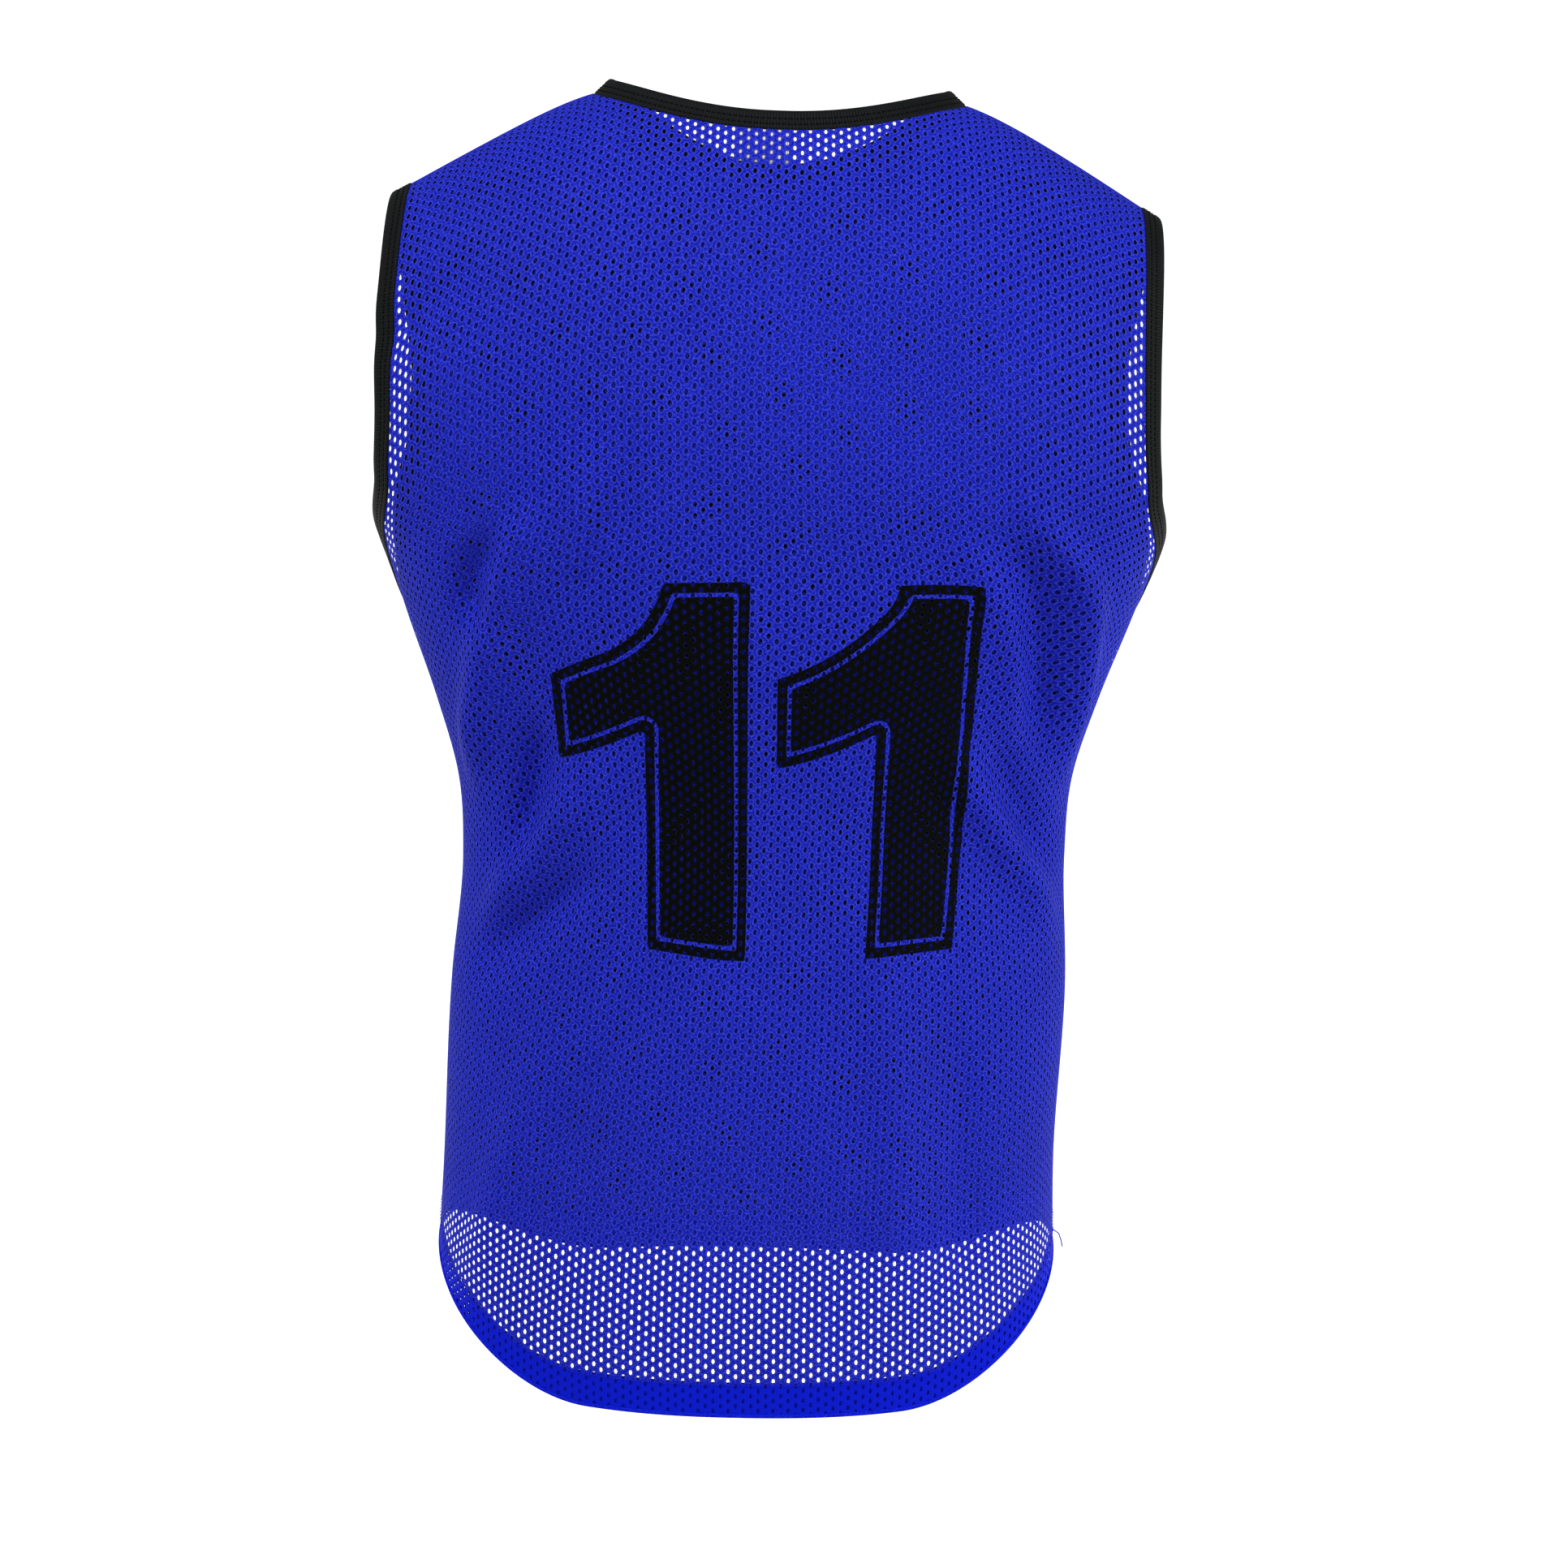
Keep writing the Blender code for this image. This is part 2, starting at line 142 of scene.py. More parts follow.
# %% Creases
FOLD_COLUMNS = ("from_across", "from_level", "to_across", "to_level", "width", "height")
FOLDS = {
    "back": (
        (-0.118, -0.195, -0.130, -0.245, 0.012, 0.0060),
        (-0.130, -0.245, -0.184, -0.340, 0.015, 0.0090),
        (-0.138, -0.210, -0.152, -0.256, 0.011, -0.0075),
        (-0.088, -0.170, -0.112, -0.250, 0.015, 0.0045),
        (-0.070, -0.160, -0.098, -0.250, 0.016, -0.0045),
        (-0.128, -0.310, -0.154, -0.378, 0.013, -0.0090),
        (-0.098, -0.335, -0.174, -0.415, 0.015, 0.0080),
        (-0.106, -0.390, -0.174, -0.442, 0.015, -0.0070),
        (-0.200, -0.120, -0.155, -0.078, 0.010, -0.0030),
        (0.119, -0.215, 0.166, -0.320, 0.015, -0.0095),
        (0.138, -0.195, 0.192, -0.330, 0.013, 0.0080),
        (0.100, -0.215, 0.140, -0.300, 0.013, 0.0040),
        (0.128, -0.320, 0.182, -0.385, 0.015, -0.0065),
        (0.106, -0.325, 0.188, -0.420, 0.015, 0.0080),
        (0.072, -0.445, 0.086, -0.600, 0.018, 0.0040),
        (0.112, -0.470, 0.126, -0.610, 0.018, -0.0040),
        (-0.024, -0.425, -0.088, -0.520, 0.016, 0.0030),
        (-0.060, -0.440, -0.110, -0.540, 0.016, -0.0025),
        (-0.120, -0.470, -0.156, -0.610, 0.018, 0.0040),
    ),
    "front": (
        (-0.122, -0.205, -0.180, -0.335, 0.015, 0.0090),
        (-0.142, -0.220, -0.164, -0.290, 0.012, -0.0075),
        (-0.100, -0.230, -0.150, -0.330, 0.015, -0.0060),
        (-0.088, -0.315, -0.172, -0.405, 0.015, 0.0080),
        (-0.110, -0.375, -0.176, -0.432, 0.015, -0.0065),
        (0.130, -0.205, 0.188, -0.330, 0.015, 0.0085),
        (0.114, -0.220, 0.162, -0.312, 0.013, -0.0095),
        (0.098, -0.325, 0.182, -0.412, 0.015, 0.0080),
        (0.112, -0.385, 0.176, -0.445, 0.015, -0.0060),
        (0.060, -0.180, 0.086, -0.310, 0.018, -0.0040),
        (-0.052, -0.190, -0.084, -0.320, 0.018, -0.0040),
        (0.048, -0.410, 0.082, -0.590, 0.022, 0.0050),
        (-0.040, -0.395, -0.078, -0.600, 0.022, 0.0050),
        (0.002, -0.450, 0.008, -0.640, 0.024, -0.0045),
    ),
}
FOLD_SHARPEN = 0.80
FOLD_RAISE = 1.15
FOLD_STARTS = (-0.25, 0.30)
FOLD_ENDS = (0.70, 1.25)
FOLD_FADE = (0.198, 0.234)
FOLD_TOP = (-0.050, -0.100)
print({side: len(rows) for side, rows in FOLDS.items()}, "creases")


# %% Functions of the worn form
def smoothstep(low, high, value):
    t = np.clip((np.asarray(value, float) - low) / (high - low), 0.0, 1.0)
    return t * t * (3.0 - 2.0 * t)


def section(column, level):
    """A column of the table of sections, read smoothly between its rows."""
    rows = np.array(SECTIONS)[::-1]
    levels = rows[:, 0]
    values = rows[:, SECTION_COLUMNS.index(column)]
    slopes = np.gradient(values, levels)
    level = np.clip(level, levels[0], levels[-1])
    i = np.clip(np.searchsorted(levels, level) - 1, 0, len(levels) - 2)
    gap = levels[i + 1] - levels[i]
    t = (level - levels[i]) / gap
    start = values[i] * (1 + 2 * t) * (1 - t) ** 2 + gap * slopes[i] * t * (1 - t) ** 2
    end = values[i + 1] * t * t * (3 - 2 * t) - gap * slopes[i + 1] * t * t * (1 - t)
    return start + end


def ring(side, level, across):
    """Sideways place, depth and outward direction at a distance round one section."""
    half_width = float(section("half_width", level))
    depth = float(section(side, level))
    power = float(section("square", level))
    turn = np.linspace(0.0, math.pi / 2, ARC_STEPS)
    x = half_width * np.sin(turn) ** (2 / power)
    y = depth * np.cos(turn) ** (2 / power)
    y[-1] = 0.0
    run = np.concatenate([[0.0], np.cumsum(np.hypot(np.diff(x), np.diff(y)))])
    ease = 1.0 - smoothstep(*EASE_LEVELS, level)
    take_up = 1.0 + (run[-1] / HALF_WIDTH - 1.0) * ease
    place = np.minimum(np.abs(across) * take_up, run[-1])
    sideways = np.interp(place, run, x)
    deep = np.interp(place, run, y)
    out_x = (sideways / half_width) ** (power - 1) / half_width
    out_y = (deep / depth) ** (power - 1) / depth
    length = np.hypot(out_x, out_y)
    return sideways, deep, out_x / length, out_y / length


def ridge_level(sideways):
    """Height of the shoulder line above the origin."""
    past_neck = sideways - NECK_HALF * RIDGE_ACROSS
    return RIDGE_TOP - RIDGE_SLOPE * (past_neck + np.hypot(past_neck, RIDGE_ROUND)) / 2


def droop(across):
    """How far the cloth's rows hang down towards the armholes."""
    reach = np.clip((np.abs(across) - DROOP_START) / DROOP_REACH, 0.0, None)
    return SHOULDER_DROOP * np.minimum(reach ** DROOP_POWER, DROOP_MOST)


def fold_height(side, across, level):
    """Sum of the creases at a place on the cloth."""
    total = np.zeros(np.broadcast(across, level).shape)
    for row in FOLDS[side]:
        fold = dict(zip(FOLD_COLUMNS, row))
        run_x = fold["to_across"] - fold["from_across"]
        run_z = fold["to_level"] - fold["from_level"]
        length = math.hypot(run_x, run_z)
        off_x = across - fold["from_across"]
        off_z = level - fold["from_level"]
        along = (off_x * run_x + off_z * run_z) / length ** 2
        aside = (off_x * run_z - off_z * run_x) / length
        ends = smoothstep(*FOLD_STARTS, along) * (1.0 - smoothstep(*FOLD_ENDS, along))
        width = fold["width"] * FOLD_SHARPEN
        total += FOLD_RAISE * fold["height"] * ends * np.exp(-((aside / width) ** 2))
    total *= 1.0 - smoothstep(*FOLD_FADE, np.abs(across))
    return total * (1.0 - smoothstep(FOLD_TOP[1], FOLD_TOP[0], level))


def columns(side, across):
    """Each column of cloth from the shoulder line down, and the cloth's length along it."""
    across = np.asarray(across, float)
    psi = np.linspace(math.pi / 2, 0.0, CAP_STEPS)[:-1]
    falls = np.linspace(BLADE_LEVEL, LOWEST_LEVEL, FALL_STEPS)
    points = np.empty((len(across), len(psi) + len(falls), 3))
    outward = np.zeros_like(points)
    sideways, deep, out_x, out_y = ring(side, BLADE_LEVEL, across)
    over = RIDGE_ACROSS * np.abs(across)
    top = ridge_level(over)
    for j, angle in enumerate(psi):
        points[:, j, 0] = sideways + (over - sideways) * math.sin(angle) ** 2
        points[:, j, 1] = deep * math.cos(angle)
        points[:, j, 2] = BLADE_LEVEL + (top - BLADE_LEVEL) * math.sin(angle)
        outward[:, j, :2] = np.stack([out_x, out_y], axis=1)
    for j, level in enumerate(falls, len(psi)):
        sideways, deep, out_x, out_y = ring(side, level, across)
        points[:, j, :2] = np.stack([sideways, deep], axis=1)
        points[:, j, 2] = level
        outward[:, j, :2] = np.stack([out_x, out_y], axis=1)
    steps = np.linalg.norm(np.diff(points, axis=1), axis=2)
    run = np.concatenate([np.zeros((len(across), 1)), np.cumsum(steps, axis=1)], axis=1)
    start = ROW_LEVEL - droop(across)
    for i in range(len(across)):
        run[i] = np.interp(-start[i], -points[i, :, 2], run[i]) - run[i]
    height = fold_height(side, across[:, None], points[:, :, 2])
    points += outward * height[:, :, None]
    points[:, :, 0] *= np.where(across < 0, -1.0, 1.0)[:, None]
    points[:, :, 1] *= SIDE[side]
    tilt = math.tan(SHOULDER_TILT) * smoothstep(*TILT_LEVELS, points[:, :, 2])
    points[:, :, 2] -= points[:, :, 0] * tilt
    points[:, :, 0] += section("lean", points[:, :, 2])
    points[:, :, 0] += SHOULDER_LEAN * smoothstep(*LEAN_LEVELS, points[:, :, 2])
    return points, run


def shoulder_height(side, across):
    """Height on the cut of the shoulder line."""
    return columns(side, np.atleast_1d(across))[1][:, 0]


def wall(side, across, up):
    """Places in the worn form of points of the cut."""
    across, up = np.broadcast_arrays(np.asarray(across, float), np.asarray(up, float))
    values, which = np.unique(np.round(across.ravel(), 7), return_inverse=True)
    points, run = columns(side, values)
    slack = 1.0 - droop(across.ravel()) / BODY_LENGTH
    target = np.where(up.ravel() < 0, up.ravel() * slack, up.ravel())
    placed = np.empty((across.size, 3))
    for i in range(len(values)):
        chosen = which == i
        for axis in range(3):
            placed[chosen, axis] = np.interp(-target[chosen], -run[i], points[i, :, axis])
    return placed.reshape(across.shape + (3,))


def wall_frame(side, across, up, step=0.002):
    """Places and outward directions of points of the cut."""
    across, up = np.broadcast_arrays(np.asarray(across, float), np.asarray(up, float))
    top = shoulder_height(side, across.ravel()).reshape(across.shape)
    high = np.minimum(up + step, top)
    inwards = np.where(across > 0, -step, step)
    place = wall(side, across, up)
    rise = wall(side, across, high) - wall(side, across, high - 2 * step)
    aside = (wall(side, across + inwards, up) - place) * np.sign(inwards)[..., None]
    out = np.cross(aside, rise) * -SIDE[side]
    return place, out / np.linalg.norm(out, axis=-1, keepdims=True)


print("chest row at", wall("back", 0.0, 0.0).round(3))


# %% Edges of the cut
def armhole_half(side, up):
    """Half width of the cut beside the armhole, or of the body below it."""
    edge = HALF_WIDTH - SEAM_GAP
    t = np.clip(up / ARMHOLE_CURVE, 0.0, 1.0)
    curve = np.sqrt(1.0 - (1.0 - t) ** ARMHOLE_TURN)
    low = edge + (CHEST_HALF[side] - edge) * curve
    return low + (TIP_HALF - CHEST_HALF[side]) * smoothstep(*TIP_TURN, up)


def neck_drop(side, across):
    reach = np.clip(np.abs(across) / NECK_HALF, 0.0, 1.0)
    return NECK_DROP[side] * (1.0 - reach ** 2) ** NECK_CURVE


def top_height(side, across):
    gap = np.maximum(neck_drop(side, across), SEAM_GAP)
    return shoulder_height(side, across) - gap


def hem_height(across):
    share = across / HALF_WIDTH
    rise = HEM_RISE * smoothstep(*HEM_TURN, np.abs(share))
    return rise - BODY_LENGTH - HEM_SKEW * share


def hem_edge(count=160):
    """The hem fold from the left side seam to the right, on the cut."""
    across = np.linspace(-1.0, 1.0, count) * (HALF_WIDTH - SEAM_GAP)
    return across, hem_height(across)


def armhole_edge(side, hand, count=70):
    """One armhole edge from the underarm to the shoulder tip, closest at the curve."""
    top = top_height(side, np.array([hand * TIP_HALF]))[0]
    up = top * np.linspace(0.0, 1.0, count) ** ARMHOLE_CROWDING
    return hand * armhole_half(side, up), up


def top_edge(side, reach_from, reach_to, count):
    """Part of the top edge of the cut: the neckline or a shoulder."""
    reach = np.linspace(reach_from, reach_to, count)
    up = top_height(side, reach)
    return reach / TIP_HALF * armhole_half(side, up), up


def neck_edge(side, count=90):
    """The neckline from the left shoulder to the right, closest at its steep ends."""
    turn = np.linspace(-math.pi / 2, math.pi / 2, count)
    reach = NECK_HALF * np.sin(turn)
    up = top_height(side, reach)
    return reach / TIP_HALF * armhole_half(side, up), up


def outline(side):
    """The whole cut of a panel as one loop of points, across and up."""
    hem = hem_edge()
    right = armhole_edge(side, 1.0)
    left = armhole_edge(side, -1.0)
    neck = neck_edge(side)
    shoulder = top_edge(side, NECK_HALF, TIP_HALF, 20)
    parts = [
        hem,
        right,
        (shoulder[0][::-1], shoulder[1][::-1]),
        (neck[0][::-1], neck[1][::-1]),
        (-shoulder[0], top_edge(side, -NECK_HALF, -TIP_HALF, 20)[1]),
        (left[0][::-1], left[1][::-1]),
    ]
    loop = np.concatenate([np.stack(part, axis=1) for part in parts])
    apart = np.linalg.norm(loop - np.roll(loop, 1, axis=0), axis=1) > 1e-6
    return loop[apart]


def flat_area(loop):
    x, y = loop[:, 0], loop[:, 1]
    return abs(np.sum(x * np.roll(y, -1) - y * np.roll(x, -1))) / 2


CUT = {side: outline(side) for side in SIDE}

# %% [markdown]
# ## The draped sheets
# A fine sheet of cloth for each panel carries the mapping from the flat cut to the worn form.
# Its UV map holds the flat place in metres, so that anything drawn flat can find its worn
# place. The sheets themselves never show: the knitted mesh is laid on them later.

# %% Draped sheets
SHEET_COLUMNS = 193
SHEET_ROWS = 280
SHEET_LOW = -0.475


def new_object(name, mesh, smooth=True):
    obj = bpy.data.objects.new(name, mesh)
    if smooth:
        mesh.shade_smooth()
    bpy.context.scene.collection.objects.link(obj)
    return obj


def new_mesh(name, points, faces, flat=None, edges=()):
    """A mesh from lists, with the flat place of every corner of its faces as UV."""
    mesh = bpy.data.meshes.new(name)
    mesh.from_pydata(points, edges, faces)
    if flat is not None:
        layer = mesh.uv_layers.new(name="flat")
        layer.data.foreach_set("uv", np.array(flat, np.float32).ravel())
    return mesh


def cloth_grid(name, across, up, places, turned_over):
    """A grid of cloth in its worn place, with its flat place as UV."""
    rows, count = up.shape
    first = (np.arange(rows - 1)[:, None] * count + np.arange(count - 1)).ravel()
    faces = np.stack([first, first + 1, first + count + 1, first + count], axis=1)
    if turned_over:
        faces = faces[:, ::-1]
    flat = np.stack([across.ravel(), up.ravel()], axis=1)[faces.ravel()]
    return new_object(name, new_mesh(name, places.reshape(-1, 3).tolist(), faces.tolist(), flat))


def draped_sheet(side):
    """A panel's whole rectangle of cloth in its worn place."""
    across = np.linspace(-HALF_WIDTH, HALF_WIDTH, SHEET_COLUMNS)
    top = shoulder_height(side, across)
    share = np.linspace(0.0, 1.0, SHEET_ROWS)[:, None]
    up = SHEET_LOW + (top - SHEET_LOW) * share
    across = np.broadcast_to(across, up.shape)
    return cloth_grid(side + "_drape", across, up, wall(side, across, up), side == "front")


def flat_face(name, corners):
    """One flat face with these corners."""
    return new_object(name, new_mesh(name, corners, [list(range(len(corners)))]), smooth=False)


def cut_object(name, loop):
    """A flat filled face of the cut: the knitting tree trims its mesh to it."""
    return flat_face(name, [(x, y, 0.0) for x, y in loop.tolist()])


DRAPES = {side: draped_sheet(side) for side in SIDE}
CUTS = {side: cut_object(side + "_cut", CUT[side]) for side in SIDE}
print("drape points", {side: len(obj.data.vertices) for side, obj in DRAPES.items()})

# %% [markdown]
# ## Helpers for node trees
# Every material and every Geometry Nodes tree below is built with one function, which adds a
# node with its settings and links its inputs. A colour is written as it looks on screen, and
# one function turns it to the linear values that the renderer works in. Yarn, thread and tape
# are all polyester, so one more starts each of their materials with the same refraction.


# %% Node helpers
POLYESTER_IOR = 1.45


def add_node(tree, kind, inputs=None, **settings):
    """Adds a node. Inputs are values, sockets, or nodes whose first output is meant."""
    node = tree.nodes.new(kind)
    for name, value in settings.items():
        setattr(node, name, value)
    for key, value in (inputs or {}).items():
        if isinstance(key, int):
            socket = node.inputs[key]
        else:
            socket = next(s for s in node.inputs if s.name == key and s.enabled)
        if isinstance(value, bpy.types.Node):
            value = next(s for s in value.outputs if s.enabled)
        if isinstance(value, bpy.types.NodeSocket):
            tree.links.new(value, socket)
        else:
            socket.default_value = value
    return node


def linear(hex_colour):
    """An sRGB hex colour as linear red, green, blue and alpha."""
    screen = [int(hex_colour[i:i + 2], 16) / 255 for i in (1, 3, 5)]
    light = [v / 12.92 if v <= 0.04045 else ((v + 0.055) / 1.055) ** 2.4 for v in screen]
    return (*light, 1.0)


def new_material(name, roughness, specular):
    """A polyester material, with its shader and a node that reads the flat place in metres."""
    material = bpy.data.materials.new(name)
    material.use_nodes = True
    tree = material.node_tree
    shader = tree.nodes["Principled BSDF"]
    shader.inputs["Roughness"].default_value = roughness
    shader.inputs["IOR"].default_value = POLYESTER_IOR
    shader.inputs["Specular IOR Level"].default_value = specular
    return material, tree, shader, add_node(tree, "ShaderNodeUVMap", uv_map="flat")


def new_tree(name, sockets):
    """A Geometry Nodes tree with named inputs: name, socket type and default value."""
    tree = bpy.data.node_groups.new(name, "GeometryNodeTree")
    tree.interface.new_socket("Geometry", in_out="OUTPUT", socket_type="NodeSocketGeometry")
    tree.interface.new_socket("Geometry", in_out="INPUT", socket_type="NodeSocketGeometry")
    for label, kind, value in sockets:
        made = tree.interface.new_socket(label, in_out="INPUT", socket_type="NodeSocket" + kind)
        if value is not None:
            made.default_value = value
    return tree


def run_tree(name, tree, mesh, values):
    """Runs a tree on a mesh with its inputs set, and returns the result as a plain object."""
    source = new_object(name + "_source", mesh, smooth=False)
    modifier = source.modifiers.new(tree.name, "NODES")
    modifier.node_group = tree
    found = {s.name: s.identifier for s in tree.interface.items_tree if s.in_out == "INPUT"}
    for label, value in values.items():
        modifier[found[label]] = value
    depsgraph = bpy.context.evaluated_depsgraph_get()
    made = bpy.data.meshes.new_from_object(source.evaluated_get(depsgraph))
    source.modifiers.remove(modifier)
    bpy.data.objects.remove(source)
    made.name = name
    return new_object(name, made)


print("helpers ready, e.g. #2b34c6 is", [round(v, 3) for v in linear("#2b34c6")[:3]])

# %% [markdown]
# ## Blue polyester mesh
# The cloth is warp-knitted polyester, dyed a saturated blue. Its bright filaments catch the
# light along the rims of the holes, and that is a painted highlight: the rims turn a paler
# blue. The knit between them is a fine vertical rib about 0.9 mm apart, with pale and dark
# flecks. To the eye that gives a sparkle of paler and darker blue at close range, and one
# even, deep blue from afar. Round each hole the yarn dips into shadow, and that shadow is
# painted: the colour runs to near black at the inner edge and the holes read as small dark
# ovals.
# The turned hem is the same cloth in two layers: with blue behind blue, its holes fill up, and
# it reads as a brighter and more solid band. That brightness is painted light: the inner layer
# has a material of its own, a brighter blue with no painted shade at its holes, and the outer
# one takes the same brighter blue inside the band, with little of its painted shade.
# The print is a flat black ink that lies on the yarn and leaves the holes open. It hides the
# flecks, so the number is the one calm, dark area of the bib. A picture of the number would be
# the quick way, but a picture blurs and can't be changed: here each point of the mesh knows
# how deep it lies inside the number's outline, and the material paints ink, blue line and ink
# from that depth alone.

# %% Materials of the cloth
INK_BORDER = 0.0053
INK_LINE = 0.0021
KNIT_RIB = 0.0009
WAVE_TURN = 2 * math.pi
FLECK = 0.0012
FLECK_STEPS = (0.40, 0.52, 0.64)
BANDS_PER_METRE = 14.0
RIM_HIGHLIGHT_FROM = 0.30
RIM_HIGHLIGHT_MOST = 0.60
PIT_SHADE_SOFT = 0.05
TURNED_PIT_SHADE = 0.15
INK_SOFT = 0.0002
YARN_RELIEF = 0.0003
YARN_ROUGHNESS = 0.62
YARN_SHINE = 0.04
RIM_HIGHLIGHT_COLOUR = "#464fcc"
DOUBLED_LIGHT_COLOUR = "#0a1cd4"


def cloth_material(name, base, deep, pale, printed=False, shade=("#04050f", 0.84)):
    """Knitted polyester: ribbed and flecked, with a painted highlight on the rims and painted shade
    down into dark holes.
    """
    material, tree, shader, flat = new_material(name, YARN_ROUGHNESS, YARN_SHINE)
    flecks = add_node(tree, "ShaderNodeTexNoise", {
        "Vector": flat, "Scale": 1.0 / FLECK, "Detail": 2.0, "Roughness": 0.7})
    bands = add_node(tree, "ShaderNodeTexNoise", {
        "Vector": flat, "Scale": BANDS_PER_METRE, "Detail": 3.0, "Roughness": 0.6})
    fleck_colour = add_node(tree, "ShaderNodeValToRGB", {"Fac": flecks})
    steps = fleck_colour.color_ramp.elements
    steps.new(0.5)
    for step, position, hex_colour in zip(steps, FLECK_STEPS, (deep, base, pale)):
        step.position = position
        step.color = linear(hex_colour)
    tone = add_node(tree, "ShaderNodeMapRange", {
        "Value": bands, "From Min": 0.3, "From Max": 0.7, "To Min": 0.93, "To Max": 1.06})
    toned = add_node(tree, "ShaderNodeVectorMath", {
        0: fleck_colour, "Scale": tone.outputs["Result"]}, operation="SCALE")
    # Painted highlight: towards the rims of the holes the colour fades to a paler blue.
    rim = add_node(tree, "ShaderNodeAttribute", attribute_name="rim")
    rim_highlight_share = add_node(tree, "ShaderNodeMapRange", {
        "Value": rim.outputs["Fac"], "From Min": RIM_HIGHLIGHT_FROM, "From Max": shade[1],
        "To Max": RIM_HIGHLIGHT_MOST})
    rim_highlighted = add_node(tree, "ShaderNodeMix", {
        "Factor": rim_highlight_share.outputs["Result"], "A": toned, "B": linear(RIM_HIGHLIGHT_COLOUR)},
        data_type="RGBA")
    # Painted shade: towards the inner edge of each hole the colour runs to the near-black shade
    # colour.
    sunk = add_node(tree, "ShaderNodeMapRange", {
        "Value": rim.outputs["Fac"], "From Min": shade[1], "From Max": shade[1] + PIT_SHADE_SOFT})
    # Painted light: in the turned hem the colour moves to a brighter blue, and only a little of the
    # painted shade is kept at its holes.
    turned = add_node(tree, "ShaderNodeAttribute", attribute_name="turned")
    pit_shade_kept = add_node(tree, "ShaderNodeMapRange", {
        "Value": turned.outputs["Fac"], "To Min": 1.0, "To Max": TURNED_PIT_SHADE})
    pit_shade_share = add_node(tree, "ShaderNodeMath", {
        0: sunk.outputs["Result"], 1: pit_shade_kept.outputs["Result"]}, operation="MULTIPLY")
    doubled_light = add_node(tree, "ShaderNodeMix", {
        "Factor": turned.outputs["Fac"], "A": rim_highlighted.outputs["Result"],
        "B": linear(DOUBLED_LIGHT_COLOUR)}, data_type="RGBA")
    pit_shaded = add_node(tree, "ShaderNodeMix", {
        "Factor": pit_shade_share, "A": doubled_light.outputs["Result"], "B": linear(shade[0])},
        data_type="RGBA")
    colour = pit_shaded.outputs["Result"]
    if printed:
        depth = add_node(tree, "ShaderNodeAttribute", attribute_name="print_depth")
        inside = add_node(tree, "ShaderNodeMapRange", {
            "Value": depth.outputs["Fac"], "From Min": -INK_SOFT, "From Max": INK_SOFT})
        past = add_node(tree, "ShaderNodeMath", {
            0: depth.outputs["Fac"], 1: INK_BORDER + INK_LINE / 2}, operation="SUBTRACT")
        away = add_node(tree, "ShaderNodeMath", {0: past}, operation="ABSOLUTE")
        off_line = add_node(tree, "ShaderNodeMapRange", {
            "Value": away, "From Min": INK_LINE / 2 - INK_SOFT,
            "From Max": INK_LINE / 2 + INK_SOFT})
        inked = add_node(tree, "ShaderNodeMath", {
            0: inside.outputs["Result"], 1: off_line.outputs["Result"]}, operation="MULTIPLY")
        # The ink is mixed a little paler towards the rims of the holes: a painted highlight.
        ink = add_node(tree, "ShaderNodeMix", {
            "Factor": rim_highlight_share.outputs["Result"], "A": linear("#060707"),
            "B": linear("#101214")}, data_type="RGBA")
        printed_mix = add_node(tree, "ShaderNodeMix", {
            "Factor": inked, "A": colour, "B": ink.outputs["Result"]}, data_type="RGBA")
        colour = printed_mix.outputs["Result"]
    tree.links.new(colour, shader.inputs["Base Color"])
    ribs = add_node(tree, "ShaderNodeTexWave", {
        "Vector": flat, "Scale": 1.0 / KNIT_RIB / WAVE_TURN, "Distortion": 1.5, "Detail": 1.0})
    relief = add_node(tree, "ShaderNodeMath", {
        0: ribs.outputs["Fac"], 1: flecks}, operation="ADD")
    bump = add_node(tree, "ShaderNodeBump", {
        "Height": relief, "Strength": 0.35, "Distance": YARN_RELIEF})
    tree.links.new(bump.outputs["Normal"], shader.inputs["Normal"])
    return material


printed_mesh = cloth_material(
    "printed_warp_knitted_polyester", "#1722bc", "#0e179a", "#3743e6", printed=True)
# The front's closed pits take the same painted shade over a wider ring, so they read as dark holes.
plain_mesh = cloth_material(
    "plain_warp_knitted_polyester", "#1722bc", "#0e179a", "#3743e6", shade=("#04050f", 0.60))
# The turned layer is a brighter copy of the cloth as painted light, and its shade colour is its own
# blue, so no painted shade shows at its holes.
hem_mesh = cloth_material(
    "turned_warp_knitted_polyester", "#0c1cd4", "#0816b8", "#1a2cec",
    shade=(DOUBLED_LIGHT_COLOUR, 0.84))
print("cloth materials", [m.name for m in (printed_mesh, plain_mesh, hem_mesh)])

# %% [markdown]
# ## Knitting the mesh
# The holes stand in staggered columns, 8 mm apart in a row and 5.8 mm apart in a column, with
# every second row moved over by half. A see-through texture would be lighter, but it has no
# rim to catch the light and is lost on export. Geometry Nodes can knit the real thing: one
# six-sided cell with an oval hole is placed on every point of a staggered grid, the cells are
# joined where they touch, points outside the cut are drawn in to its edge, and each point
# finds its worn place through the UV map of the draped sheet.
# The front panel is knitted by the same tree, but its holes are pits that close at the bottom
# and are painted dark, as painted shade. Behind two layers of real holes the white floor would
# sparkle wherever they happen to line up, and the pits stop that. From the front they still
# read as holes.

